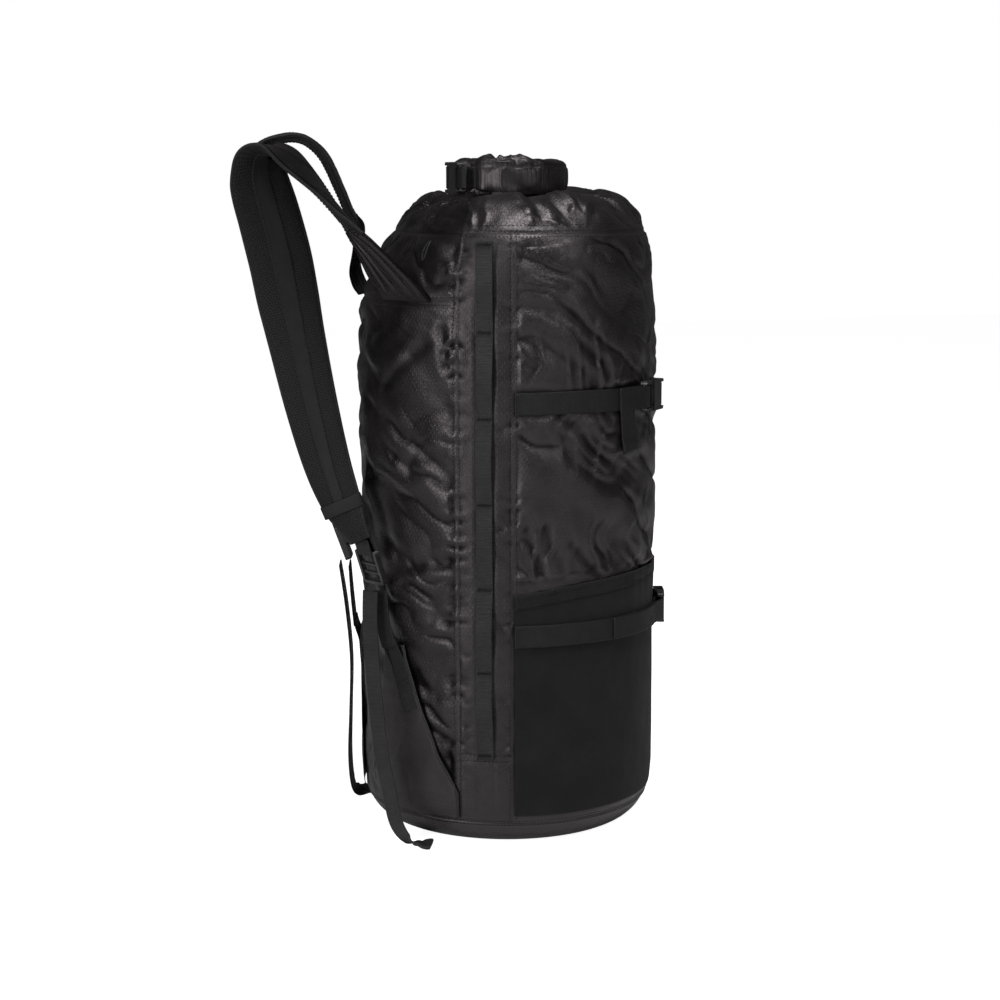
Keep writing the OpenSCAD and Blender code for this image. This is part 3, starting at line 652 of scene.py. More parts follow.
def panel_folds(phi, z):
    """Broad soft unevenness, with long slack folds that fall from the back toward the front."""
    x, y = on_pole(phi, SACK_R, z)[..., :2].transpose(2, 0, 1)
    broad = 1.5 * noise(x / 70, y / 70, z / 75, 21) + 0.7 * noise(x / 34, y / 34, z / 30, 22)
    warp = 15 * noise(x / 60, y / 60, z / 60, 24) + 5 * noise(x / 22, y / 22, z / 22, 27)
    patch = smooth(noise(x / 55, y / 55, z / 60, 26), -0.5, 0.5)
    left = smooth(phi % 360, 82, 98) * (1 - smooth(phi % 360, 260, 280))
    folds = 0
    for share, turned_phi, shift in ((left, phi, 0.0), (1 - left, (180 - phi) % 360, 40.0)):
        arc = np.radians(turned_phi) * SACK_R
        over = arc * math.sin(FOLD_LEAN) + z * math.cos(FOLD_LEAN) + warp
        run = arc * math.cos(FOLD_LEAN) - z * math.sin(FOLD_LEAN)
        bulge = np.abs(noise(over / 27, run / 105, shift, 23))
        small = np.abs(noise(over / 12, run / 42, shift, 25))
        folds = folds + share * (6.0 * bulge - 2.2 + patch * (3.0 * small - 0.9))
    return broad + folds


def pucker(phi, z):
    """Short folds square to the strips' seams, where the stitching draws the cloth in."""
    total = np.zeros(phi.shape)
    for column in STRIP_SEAMS:
        away = arc_apart(phi, column)
        size = 0.25 + 1.0 * smooth(noise(z / 24, 0 * z, column, 42), -0.4, 0.5)
        fold = noise(z / 5.6 + 0.4 * noise(z / 20, away / 9, 0, 43), away / 18, column, 41)
        total += 2.0 * size * groove(away - 4, 7) * fold
    return total


PROUD = 3.5                      # millimetres that the wall's folds may stand out
SOFT = 0.7                       # millimetres over which the skin flattens under what holds it in
LOOP_AWAY = 68                   # degrees from the back to each side loop
ROLL_ROOM = 6.0                  # millimetres the dome dips at the sides, where the roll swings open


def finish_skin(grid, rows, columns):
    """Adds folds, gathers and seams to the refined skin."""
    z = grid[..., 2]
    phi = np.broadcast_to(columns[None], z.shape)
    share = seam_share(rows, columns, 3.2)
    lift = panel_folds(phi, z) + gathers(phi, z)
    lift = lift + 0.75 * crease_depth(phi, z, False) + 0.75 * crease_depth(phi, z, True)
    strip = apart(apart(phi, 90), 90 - STRIP_MID) < STRIP_WIDE / 2 - 1e-6
    yoke = (phi > RIGHT_BACK) & (phi < LEFT_BACK)
    lift = np.where(strip & (z < WALL_TOP), 0.3 * lift, lift) * share
    lift = lift + pucker(phi, z) * (z < WALL_TOP) * (z > 60)
    lift = lift * smooth(rows, BOTTOM_SEAM, BOTTOM_SEAM + 2)[:, None]
    for station, width in ((BOTTOM_SEAM, 2.0), (TOP_SEAM, 1.6), (YOKE_SEAM, 1.6), (NECK_SEAM, 2.2)):
        level = np.interp(station, rows, np.arange(len(rows)))
        near = np.abs(z - grid[int(round(level)), :, 2][None])
        here = yoke if station == YOKE_SEAM else 1
        if station in (YOKE_SEAM, TOP_SEAM):
            lift = lift * (1 - groove(near, 7) * here)
        lift = lift - 1.1 * groove(near, width) * here
    for column in STRIP_SEAMS:
        away = arc_apart(phi, column)
        felled = 0.35 * groove(away, 2.2) - 0.75 * groove(away - 2.6, 0.9)
        lift = lift + felled * (z < 550) * (z > 26)
    lift = lift - 0.75 * strip * (groove(z - 81.5, 0.9) + groove(z - 86.5, 0.9))
    normal = normals_of(grid)
    swell = np.hypot(grid[..., 0], grid[..., 1]) - SACK_R
    front = (phi > LEFT_FRONT - 1.5) & (phi < RIGHT_FRONT + 361.5)
    limit = np.full(z.shape, PROUD)
    for height in (UPPER_Z, LOWER_Z):
        held = -0.6 + 4.5 * smooth(np.abs(z - height), 10, 20)
        limit = np.where(front, np.minimum(limit, held), limit)
    limit = np.where(front & (z < 246), np.minimum(limit, -0.5), limit)
    under_web = np.abs(apart(phi, 90) - (90 - STRIP_MID)) < 3.6
    limit = np.where(strip, np.where(under_web, -0.1, 1.0), limit)
    wing = ((phi > 95) & (phi < 143)) | ((phi > 37) & (phi < 85))
    limit = np.where(wing & (z < 190), np.minimum(limit, -0.9 + 4 * smooth(z, 170, 190)), limit)
    over = limit - swell - lift
    beside_loop = np.abs(apart(phi, 90) - LOOP_AWAY)
    lift = lift * (1 - 0.9 * groove(beside_loop, 9) * smooth(z, 545, 560))
    total = np.where(z < 530, limit - SOFT * np.logaddexp(0, over / SOFT) - swell, lift)
    out = grid + normal * (total * smooth(np.hypot(grid[..., 0], grid[..., 1]), 3, 14))[..., None]
    r = np.hypot(out[..., 0], out[..., 1])
    side = smooth(np.abs(np.cos(np.radians(phi))), 0.15, 0.55)
    room = side * smooth(r, 30, 40) * (1 - smooth(r, 74, 86)) * (z > 560)
    out[..., 2] -= ROLL_ROOM * room
    return out


def skin_uv(grid, columns, kind):
    """Flat pattern of a panel in metres: rolled out for a wall, spread round the middle for an end."""
    step = np.linalg.norm(np.diff(grid, axis=0), axis=-1)
    length = np.concatenate([np.zeros((1, grid.shape[1])), np.cumsum(step, 0)])
    phi = np.radians(columns)[None]
    if kind == "wall":
        return np.stack([phi * SACK_R + 0 * length, length], -1) * MM
    slant = length if kind == "base" else length[-1:] - length + 30
    return np.stack([slant * np.cos(phi), slant * np.sin(phi)], -1) * MM


def cut_panel(name, low, high, start, end, kind, material, *nodes):
    """A panel of the skin between two stations and two angles, with its own thickness."""
    r0, r1 = [int(np.argmin(np.abs(skin_t - v))) for v in (low, high)]
    full = end - start >= 360
    picked = np.arange(len(skin_phi))
    if not full:
        order = (skin_phi - start) % 360
        picked = np.nonzero(order <= end - start + 1e-6)[0]
        picked = picked[np.argsort(order[picked])]
        picked = np.concatenate([np.nonzero(np.abs(order - 360) < 1e-6)[0], picked])
    part = skin[r0:r1 + 1][:, picked]
    angle = start + (skin_phi[picked] - start) % 360
    if full:
        part = np.concatenate([part, part[:, :1]], 1)
        angle = np.concatenate([angle, angle[:1] + 360])
    uv = skin_uv(part, angle, kind)
    faces = grid_faces(*part.shape[:2])
    obj = new_object(name, part.reshape(-1, 3) * MM, faces, uv.reshape(-1, 2), material)
    if full:
        weld(obj)
    thicken(obj, CLOTH_T)
    if not full:                 # shade the edges as the whole skin, so that seams don't show as steps
        shading = np.zeros((len(obj.data.vertices), 3))
        shading[:part.shape[0] * part.shape[1]] = skin_normals[r0:r1 + 1][:, picked].reshape(-1, 3)
        obj.data.normals_split_custom_set_from_vertices(shading.tolist())
    return place(obj, "sack", "ripstop", *nodes)


def weld(obj, distance=0.02):
    """Joins points closer than a distance in millimetres."""
    edit = bmesh.new()
    edit.from_mesh(obj.data)
    bmesh.ops.remove_doubles(edit, verts=edit.verts, dist=distance * MM)
    edit.to_mesh(obj.data)
    edit.free()


def thicken(obj, thickness):
    """Gives a sheet its thickness, inward from the side that shows."""
    shell = obj.modifiers.new("thickness", "SOLIDIFY")
    shell.thickness = thickness * MM
    shell.offset = -1
    apply_modifiers(obj)


def make_skin():
    """The finished skin, with its rows' stations and its columns' angles."""
    rows, columns = skin_rows(), skin_columns()
    grid = skin_base(rows, columns)
    grid = simulate_skin(grid, rows, columns)
    grid = finer(grid)
    grid = np.swapaxes(finer(np.swapaxes(grid, 0, 1), closed=True), 0, 1)
    rows = finer(rows)
    wrapped = np.concatenate([columns, columns[:1] + 360])
    columns = np.stack([columns, (columns + wrapped[1:]) / 2], 1).ravel()
    grid = finish_skin(grid, rows, columns)
    return grid, rows, columns


CLOTH_T = 1.0                    # millimetres, with its lining
skin, skin_t, skin_phi = make_skin()
skin_normals = normals_of(skin)
WALLS = (
    ("sack_bottom", 0, BOTTOM_SEAM, 0, 360, "base", RIPSTOP, "bottom_panel"),
    ("sack_front", BOTTOM_SEAM, TOP_SEAM, LEFT_FRONT, RIGHT_FRONT + 360, "wall", RIPSTOP, "front_panel"),
    ("sack_back", BOTTOM_SEAM, YOKE_SEAM, RIGHT_BACK, LEFT_BACK, "wall", SATIN, "back_panel"),
    ("sack_yoke", YOKE_SEAM, NECK_SEAM, RIGHT_BACK, LEFT_BACK, "wall", SATIN, "back_yoke"),
    ("sack_top", TOP_SEAM, NECK_SEAM, LEFT_BACK, RIGHT_BACK + 360, "end", RIPSTOP, "top_panel"),
    ("sack_neck", NECK_SEAM, len(PROFILE) - 1, 0, 360, "wall", RIPSTOP, "neck"),
)
for wall in WALLS:
    cut_panel(*wall)
for side_name, edge in (("left", LEFT_BACK), ("right", RIGHT_FRONT)):
    sides = (edge, edge + STRIP_WIDE, "wall", LIGHT_STRIP)
    cut_panel("strip_" + side_name, FOOT_SEAM, TOP_SEAM, *sides, "side_strip_" + side_name)
    cut_panel("foot_patch_" + side_name, BOTTOM_SEAM, FOOT_SEAM, *sides,
              *(("foot_patches",) if side_name == "left" else ()))


# ---- finding places on the skin ----

fine_stations = np.linspace(0, DOME_TOP, 521)
rest_heights = np.interp(fine_stations, np.arange(len(PROFILE)), np.array(PROFILE)[:, 1])


def station(z):
    """Station of the skin's row that rests at a height on the front."""
    return np.interp(z, rest_heights, fine_stations)


def sample(t, phi, lift=0.0):
    """Points and normals on the skin, in millimetres, at stations and angles."""
    t, phi = np.broadcast_arrays(np.asarray(t, float), np.asarray(phi, float))
    count = len(skin_phi)
    row = np.interp(t, skin_t, np.arange(len(skin_t)))
    column = np.interp((phi - skin_phi[0]) % 360 + skin_phi[0],
                       np.append(skin_phi, skin_phi[0] + 360), np.arange(count + 1))
    i = np.clip(row.astype(int), 0, len(skin_t) - 2)
    j = column.astype(int) % count
    u, v = (row - i)[..., None], (column - column.astype(int))[..., None]
    k = (j + 1) % count
    point, normal = [(grid[i, j] * (1 - u) * (1 - v) + grid[i + 1, j] * u * (1 - v)
                      + grid[i, k] * (1 - u) * v + grid[i + 1, k] * u * v)
                     for grid in (skin, skin_normals)]
    normal = unit(normal)
    return point + normal * np.asarray(lift)[..., None], normal


# ---- stitching ----

STITCHES = {}                    # body: list of (middles, directions, normals) of single stitches
STITCH_LONG, STITCH_WIDE, STITCH_HIGH = 2.4, 0.85, 0.42


def stitch(body, points, normals, pitch=3.4, sink=0.0):
    """Sews along a line of points in millimetres."""
    points, normals = np.asarray(points, float), np.asarray(normals, float)
    s = along(points)
    if s[-1] < pitch:
        return
    count = int(s[-1] / pitch)
    where = (np.arange(count) + 0.5) * s[-1] / count

    def at(place, values):
        return np.stack([np.interp(place, s, values[:, k]) for k in range(3)], -1)

    p = at(where, points)
    n = unit(at(where, normals))
    d = unit(at(where + 0.5, points) - at(where - 0.5, points))
    STITCHES.setdefault(body, []).append((p - n * sink, d, n))


def stitch_on_skin(t, phi):
    """Sews the body along stations and angles."""
    p, n = sample(t, phi, 0.05)
    stitch("sack", p, n)


def make_stitches():
    """One piece for each body, with all its stitches: slim spindles, pointed at both ends."""
    for body, lines in STITCHES.items():
        p, d, n = [np.concatenate(part) for part in zip(*lines)]
        side = np.cross(d, n)
        belly = ((0.5, 0), (0, 1), (-0.5, 0), (0, -1))
        shape = [(-0.5, 0, 0)] + [(x, a, b) for x in (-0.3, 0.3) for a, b in belly] + [(0.5, 0, 0)]
        verts = np.stack([p + d * (x * STITCH_LONG) + side * (y * STITCH_WIDE) + n * (z * STITCH_HIGH)
                          for x, y, z in shape], 1)
        quads = [(1 + k, 5 + k, 5 + (k + 1) % 4, 1 + (k + 1) % 4) for k in range(4)]
        ends = [(0, 1 + k, 1 + (k + 1) % 4) for k in range(4)]
        ends += [(9, 5 + (k + 1) % 4, 5 + k) for k in range(4)]
        faces = [tuple(10 * i + v for v in f) for i in range(len(p)) for f in quads + ends]
        obj = new_object("stitches_" + body, verts.reshape(-1, 3) * MM, faces, material=THREAD)
        place(obj, body, "thread")


def sew_body():
    """Double lines of stitches along every seam of the body."""
    for edge in STRIP_SEAMS:
        for shift in (-1.1, 1.1):
            stitch_on_skin(np.linspace(BOTTOM_SEAM, TOP_SEAM, 320), edge + shift)
    for low in (RIGHT_FRONT, LEFT_BACK):
        for z in (81.5, 86.5):
            stitch_on_skin(station(z), np.linspace(low, low + STRIP_WIDE, 24))
    for seam, shifts, start, end, steps in (
            (BOTTOM_SEAM, (-0.5, 0.25), 0, 360, 480),
            (TOP_SEAM, (-0.3, 0.25, 0.7), LEFT_BACK, RIGHT_BACK + 360, 400),
            (YOKE_SEAM, (-0.12, 0.16), RIGHT_BACK, LEFT_BACK, 160)):
        for shift in shifts:
            stitch_on_skin(seam + shift, np.linspace(start, end, steps))


# ---- flat webbing ----

def flat_band(name, path, z, body, node, wave=0.5):
    """Upright webbing along a path seen from above, in millimetres."""
    path = np.asarray(path, float)
    s = along(path)
    centre = np.column_stack([path, z + wave * noise(s / 60, 0 * s, 0, len(name))])
    d = unit(np.gradient(centre, axis=0))
    wide = unit(UP - d * d[:, 2:])
    out = np.cross(d, wide)
    obj = sweep(name, centre * MM, wide, out, web_section(WEB_W, WEB_T) * MM, WEBBING)
    return place(obj, body, "webbing", node)


def arc(r, start, end, count):
    return on_pole(np.linspace(start, end, count), r, 0)[:, :2]


def turned(points, angle):
    """Points seen from above, turned round the sack's axis."""
    c, s = math.cos(math.radians(angle)), math.sin(math.radians(angle))
    return np.asarray(points) @ np.array([[c, s], [-s, c]])


WEB_W, WEB_T = 20.0, 1.4
TURN_R = 2.35                    # middle of the webbing, where it turns round a bar
LIFT = 1.1                       # from a strap's middle to its buckle's underside
MALE_BAR, FEMALE_BAR = -8.5, 20.5    # the buckle's bars, from its middle
BUCKLE_T = 8.6


def strap_near(name, r, z, buckle, node):
    """The part of a compression strap from the left strip to its buckle's male half."""
    end = buckle + math.degrees(MALE_BAR / r)
    path = arc(r, POCKET_FROM, end, 60)
    flat_band(name, path, z, "sack", node)
    for shift in (-7.6, 7.6):
        p = np.column_stack([path[1:4] * (r + 0.8) / r, np.full(3, z + shift)])
        stitch("sack", p, unit(p * (1, 1, 0)), 2.2)
    tack(arc(r + 0.85, 163.3, 164.6, 3), z)


def tack(path, z, width=16):
    """Upright rows of thread that hold a strap's root."""
    for x, y in path:
        n = unit(np.array([x, y, 0.0]))
        points = np.array([[x, y, z - width / 2], [x, y, z + width / 2]])
        stitch("sack", points, [n, n], 1.7)


def strap_far(name, r, z, buckle, node):
    """The part from the buckle's female half round the front to the right strip."""
    bar = np.array([r + LIFT + BUCKLE_T / 2, FEMALE_BAR])
    under = bar - [TURN_R, 0]
    touch_angle = math.atan2(under[1], under[0]) + math.acos(r / np.linalg.norm(under))
    touch = r * np.array([math.cos(touch_angle), math.sin(touch_angle)])
    step = unit(touch - under)
    away = np.array([step[1], -step[0]])
    leg = [under + step * s + away * (WEB_T + 0.15) for s in (26, 19, 12)]
    turn = half_turn(30, -181, -15, TURN_R, bar)
    wrap = arc(r, math.degrees(touch_angle), POCKET_TO - buckle, 70)
    path = turned(np.concatenate([leg, turn, wrap]), buckle)
    flat_band(name, path, z, "sack", node)
    tack(turned([leg[0] + away * 0.8, leg[0] + away * 0.8 - step * 3], buckle), z)


def strap_tail(name, r, z, buckle, back, body, node, hang=0.0):
    """Free end: round the male half's bar, back over the strap, and down if it hangs."""
    tail_r = r + WEB_T + 0.3
    bar = np.array([r + LIFT + BUCKLE_T / 2, MALE_BAR])
    turn = half_turn(180, -1, -15, TURN_R, bar)
    lie = arc(tail_r, -14, -back, 34)
    path = np.concatenate([[[bar[0] - TURN_R, MALE_BAR - 3]], turn,
                           [[bar[0] + TURN_R - 0.2, MALE_BAR - 8]], lie])
    path = turned(path, buckle)
    if not hang:
        flat_band(name, path, z, body, node, wave=0.8)
        return
    flat_band(name, path, z, body, node)
    phi = buckle - back + 4
    depth = np.linspace(0, 1, 30)
    lift = tail_r + 0.3 + 1.6 * depth * (1 - depth) + 0.9 * (depth > 0.85)
    fold = on_pole(phi + 2.0 * depth ** 2, lift, z + WEB_W / 2 - depth * (hang + WEB_W / 2))
    tangent = np.array([-math.sin(math.radians(phi)), math.cos(math.radians(phi)), 0.06])
    wide, out, _ = frames(fold, np.broadcast_to(tangent, fold.shape))
    thick = np.where(depth > 0.86, 1.9, 1.0)[:, None, None]
    section = web_section(WEB_W, WEB_T)[None] * np.concatenate([np.ones_like(thick), thick], -1)
    obj = sweep(name + "_hanging", fold * MM, -wide, -out, section * MM, WEBBING)
    place(obj, body, "webbing")


STRAP_R, LOWER_STRAP_R = 138.0, 140.1


def make_compression():
    for label, r, z, buckle, back, hang in (("upper", STRAP_R, UPPER_Z, 225, 19, 48),
                                            ("lower", LOWER_STRAP_R, LOWER_Z, 251, 48, 0)):
        strap_near(label + "_strap_root", r, z, buckle, label + "_strap_near")
        strap_far(label + "_strap_front", r, z, buckle, label + "_strap_far")
        strap_tail(label + "_tail_web", r, z, buckle, back, label + "_tail", label + "_strap_tail", hang)


# ---- daisy chains ----

DAISY_LOW, DAISY_HIGH, DAISY_TACKS, DAISY_W = 87.0, 541.0, 7, 15.0


def make_daisy(side):
    """Webbing down a strip, bowed out a little between its bar tacks."""
    phi = STRIP_MID if side == "right" else 180 - STRIP_MID
    z = np.linspace(DAISY_LOW - 4, DAISY_HIGH + 4, 260)
    pitch = (DAISY_HIGH - DAISY_LOW) / (DAISY_TACKS - 1)
    u = (z - DAISY_LOW) / pitch
    inside = (z > DAISY_LOW) & (z < DAISY_HIGH)
    bow = 3.2 * np.sin(math.pi * u) ** 2 * inside * (1 + 0.25 * np.sin(2.1 * np.floor(u)))
    wander = 0.35 * noise(z / 50, 0 * z, 0, 7)
    centre = on_pole(phi + wander, SACK_R + 1.0 + bow, z)
    tangent = on_pole(phi + 90, 1.0, 0 * z)
    wide, out, _ = frames(centre, tangent)
    section = web_section(DAISY_W, WEB_T) * MM
    # Painted light: the daisy chain takes the paler copy of the webbing.
    obj = sweep("daisy_web_" + side, centre * MM, wide, out, section, LIT_WEBBING)
    place(obj, "sack", "webbing", "daisy_chain_" + side)
    flat = on_pole(phi, 1.0, 0.0)
    cross = on_pole(phi + 90, 1.0, 0.0)
    for k in range(DAISY_TACKS):
        middle = on_pole(phi, SACK_R + 1.95, DAISY_LOW + k * pitch)
        for x in np.arange(-6, 6.1, 1.0):
            p = middle + cross * x
            stitch("sack", [p - UP * 1.7, p + UP * 1.7], [flat, flat], 3.0)
        for level in (-0.9, 0.9):
            p = middle + UP * level + flat * 0.25
            stitch("sack", [p - cross * 6.2, p + cross * 6.2], [flat, flat], 2.1)


# ---- pocket ----

def pocket_edge(phi):
    """Height of the pocket's top edge, which dips where it is sewn in at the strips."""
    away = np.minimum(phi - POCKET_FROM, POCKET_TO - phi)
    return POCKET_TOP + 1.0 - 11.5 * np.exp(-(away / 22) ** 1.4)


def pocket_sheet(name, low, high, rows, r, thickness, node):
    """Stretch cloth round the front, between two edges given as heights at an angle."""
    phi = np.linspace(POCKET_FROM, POCKET_TO, 290)
    share = np.linspace(0, 1, rows)[:, None]
    top = pocket_edge(phi)[None]
    bottom = low(phi)[None]
    z = bottom + (high(phi)[None] - bottom) * share
    arc_mm = np.radians(phi)[None] * SACK_R
    wave = 0.45 * noise(arc_mm / 42, z / 60, 0, 61) + 0.22 * noise(arc_mm / 11, z / 30, 0, 62)
    pull = 0.7 * np.exp(-((top - z) / 24) ** 2) * noise(arc_mm / 8, z / 55, 0, 63)
    strap = 1 - np.exp(-((z - 196) / 15) ** 4)
    foot = smooth(z, 26, 50)
    base = np.interp(z, [20, 34, 50], [133.6, 136.2, 137.2])
    outside = base + (r - 137.2) + (wave * strap + pull) * foot * 0.8
    points = on_pole(phi[None], outside, z)
    uv = np.stack([arc_mm + 0 * z, z], -1) * MM
    obj = new_object(name, points.reshape(-1, 3) * MM, grid_faces(*z.shape), uv.reshape(-1, 2), KNIT)
    thicken(obj, thickness)
    return place(obj, "sack", "stretch", node)


def make_pocket():
    pocket_sheet("pocket_knit", lambda phi: 30 + 0 * phi, lambda phi: pocket_edge(phi) - HEM,
                 110, 138.2, 0.9, "pocket")
    pocket_sheet("pocket_binding", lambda phi: pocket_edge(phi) - HEM - 0.6, pocket_edge,
                 12, 138.75, 1.5, "pocket_hem")
    phi = np.linspace(POCKET_FROM + 0.4, POCKET_TO - 0.4, 300)
    normal = on_pole(phi, 1.0, 0 * phi)
    for level in (HEM - 1.6, 2.0):
        stitch("sack", on_pole(phi, 139.0, pocket_edge(phi) - level), normal, 3.0)
    for phi in (POCKET_FROM + 1.6, POCKET_TO - 1.6):
        z = float(pocket_edge(np.array([phi]))[0]) - 6
        tack(arc(139.2, phi - 0.5, phi + 0.5, 3), z, width=9)


# ---- rolled mouth ----

ROLL_R, ROLL_Z, ROLL_END = 43.0, 598.0, 53.0
ROLL_HALF_W, ROLL_HALF_H = 12.8, 17.0


def roll_section(count, turns):
    """Outline of the rolled cloth: a soft rectangle with the edge of each turn showing."""
    a = np.linspace(0, 2 * math.pi, count, endpoint=False)
    p = 2 / 2.7
    x = np.sign(np.cos(a)) * np.abs(np.cos(a)) ** p * ROLL_HALF_W
    z = np.sign(np.sin(a)) * np.abs(np.sin(a)) ** p * ROLL_HALF_H
    lip = sum(groove(apart(np.degrees(a), t), 4.0) for t in turns)
    return np.stack([x, z], -1) * (1 - 0.075 * lip)[:, None], a


def make_roll(side):
    """Half of the rolled mouth, from the front round to its end at the back; the left one is limp."""
    left = side == "left"
    phi = np.linspace(-90, ROLL_END, 150)
    section, a = roll_section(84, (28, 152, -62))
    s = np.radians(phi)[:, None] * ROLL_R
    amount = (1.0 if left else 0.55) * (0.45 + 0.75 * smooth(phi, -40, 10)[:, None])
    x, y = np.cos(a)[None], np.sin(a)[None]
    seed = 71 if left else 77
    bend = 0.8 * noise(x * 1.4, y * 1.4, s / 30, seed)
    fold = 1 - 2 * np.abs(noise(s / 11 + bend, x * 0.9, y * 0.9, seed + 1))
    lift = amount * (0.9 * fold + 0.6 * noise(s / 7, x * 2, y * 2, seed + 2)
                     + 3.4 * (np.abs(noise(s / 17, x * 1.3, y * 1.3, seed + 3)) - 0.3))
    lift = lift * (0.25 + 0.75 * smooth(phi, -90, -84)[:, None])
    pinch = 1 - 0.10 * smooth(phi, ROLL_END - 10, ROLL_END)[:, None]
    outline = section[None] * (pinch * (1 + lift / 14.0))[..., None]
    out = on_pole(phi, 1.0, 0 * phi)
    centre = on_pole(phi, ROLL_R, ROLL_Z + 0.9 * np.sin(np.radians(2.3 * phi)))
    out, centre = mirrored(side, out, centre)
    outline = outline[:, ::-1] if left else outline
    # The right half takes the lighter copy of the ripstop as painted light; the left half keeps the plain
    # ripstop.
    obj = sweep("rolled_mouth_" + side, centre * MM, out, np.broadcast_to(UP, out.shape), outline * MM,
                RIPSTOP if left else LIT_ROLL_RIPSTOP)
    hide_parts("roll_" + side)
    sub = obj.modifiers.new("smooth", "SUBSURF")
    sub.levels = sub.render_levels = 1
    apply_modifiers(obj)
    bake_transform(obj)


def make_roll_tabs():
    """Webbing from each end of the roll, round its buckle's bar and back."""
    bar_y = 51.0
    for side, bar_x in (("left", FEMALE_BAR - 3.25), ("right", -MALE_BAR + 3.25)):
        root = on_pole(49.6, 42.5, 0)[:2]
        inner = on_pole(38, 46, 0)[:2]
        path = np.concatenate([[inner, root + [1.5, 2], root + [-4.2, 7.6]],
                               half_turn(270, 89, -15, TURN_R, (bar_x, bar_y)),
                               [[bar_x + 5, bar_y + TURN_R - 0.4], [bar_x + 12, bar_y - 1.5]]])
        if side == "left":
            path = path * (-1, 1)
        flat_band("roll_web_" + side, path, ROLL_Z, "roll_" + side, "roll_tab_" + side, wave=0)


# ---- shoulder straps ----

# Points of each strap, drawn for the right side: [x, y, z, angle of the width, width]
STRAP_LINES = {
    "left": [
        [52, 158.5, 546, -8, 38], [50, 164.5, 554.5, 0, 34], [46, 172.5, 566, 14, 34],
        [42, 187, 585, 30, 38], [39, 203, 603, 40, 46], [36, 218, 616.5, 46, 52],
        [33, 231, 621.8, 50, 54], [29, 239.5, 617.5, 56, 54], [24, 240.5, 605, 64, 54],
        [18, 236.5, 590, 74, 55], [13, 228, 565, 84, 55], [10, 217.5, 526, 90, 55],
        [11, 211, 490, 90, 54], [15, 205, 455, 92, 50], [23, 195.5, 401, 98, 45],
        [31, 184, 348, 108, 40], [37, 173, 312, 122, 36], [42, 164.5, 291, 140, 31],
        [45.6, 156.8, 275.2, 154, 29]],
    "right": [
        [52.5, 125.5, 549.5, -21, 42], [48, 137, 567, -20, 42], [44, 146.5, 586, -20, 46],
        [40, 162, 615.5, -20, 52], [37.5, 178, 630, -20, 54], [35.5, 194, 634, -20, 54],
        [34, 210, 631, -20, 54], [33, 222, 625, -20, 54], [32, 229.5, 615.5, -20, 54],
        [31.3, 231, 603, -20, 54], [30.7, 227, 587, -20, 54], [30, 217.5, 560, -20, 54],
        [30, 208, 524, -20, 54], [31, 201, 488, -20, 52], [32, 193, 451, -20, 49],
        [34, 183, 395, -20, 45], [38, 169.5, 338, -20, 39], [42, 161.5, 302, -20, 33],
        [44.4, 157.5, 283, -20, 29]],
}
ANCHOR_LINES = {
    "left": [[64.5, 117.5, 491, -29, 56], [64.5, 124, 499, -29, 54], [61, 137, 515, -24, 50],
             [57, 149, 532, -16, 44], [52, 158, 545, -8, 37], [50, 164, 553.5, 0, 34]],
    "right": [[64.5, 117.5, 491, -29, 56], [66, 123, 499, -29, 54], [64, 128, 514, -26, 50],
              [58, 127, 534, -23, 45], [52.5, 126, 550, -21, 42], [49.5, 132, 560, -20, 42]],
}
STRAP_T = 7.0                    # millimetres, padded
EDGE_T = 0.9                     # from a strap's middle plane to its faces, at the binding
CHANNEL_LIFT = 0.75              # of the webbing channel, off the mesh
CHANNEL_SPAN = (0.04, 0.93)      # where it starts and ends, as shares of the strap's length


def line_frames(points, side, steps):
    """Centre, width direction, outward direction, widths and length along a drawn line."""
    q = curve(points, steps)
    centre = q[:, :3].copy()
    a = np.radians(q[:, 3])
    flat = np.stack([np.cos(a), np.sin(a), 0 * a], -1)
    wide, out, _ = frames(centre, flat)
    return (*mirrored(side, centre, wide, out), q[:, 4], along(centre))


def pillow(x):
    """Height of a stuffed section at a share of its half width."""
    return np.clip(1 - np.abs(x) ** 3.0, 0, 1) ** 0.7


def puff(x):
    """Millimetres from a strap's middle plane to its face, at a share of its half width."""
    return EDGE_T + (STRAP_T / 2 + 0.4 - EDGE_T) * pillow(x)


def channel_half(s):
    """Half width of the webbing channel on a strap's mesh side."""
    return np.interp(s / s[-1], [0, 0.5, 1], [8.5, 8.5, 4.5])


def strap_layer(name, side, low, high, material, slot, nodes, folds, seed, channel=False):
    """One closed layer of a shoulder strap; low and high give its two faces at a share of its width.

    The folds go on the face that shows, which is the one farther from the middle plane.
    """
    centre, wide, out, width, s = line_frames(STRAP_LINES[side], side, 14)
    if channel:
        keep = (s / s[-1] >= CHANNEL_SPAN[0]) & (s / s[-1] <= CHANNEL_SPAN[1])
        centre, wide, out, width, s = [v[keep] for v in (centre, wide, out, width, s)]
    half = channel_half(s) if channel else width / 2 - 0.4
    across = np.linspace(-1, 1, 27)[None] * half[:, None]
    real = across / (width / 2)[:, None]
    s = s[:, None]
    ease = np.sin(np.clip(s / 25, 0, 1) * math.pi / 2) * 0.5 + 0.5
    top = high(real) * ease + 0 * across
    bottom = low(real) * ease + 0 * across
    wrinkle = folds * noise(across / 7 + 9 * noise(s / 120, across / 40, 0, seed), s / 52, 0, seed + 1)
    wrinkle = wrinkle + 0.5 * folds * noise(across / 13, s / 14, 0, seed + 2)
    wrinkle = wrinkle * (1 - np.abs(real) ** 4)
    if np.mean(top) > np.mean(-bottom):
        top = top + wrinkle
    else:
        bottom = bottom + wrinkle
    outline = np.concatenate([np.stack([across, top], -1), np.stack([across, bottom], -1)[:, ::-1]], 1)
    obj = sweep(name, centre * MM, wide, out, facing_out(side, outline) * MM, material)
    return place(obj, "harness_" + side, slot, *nodes)


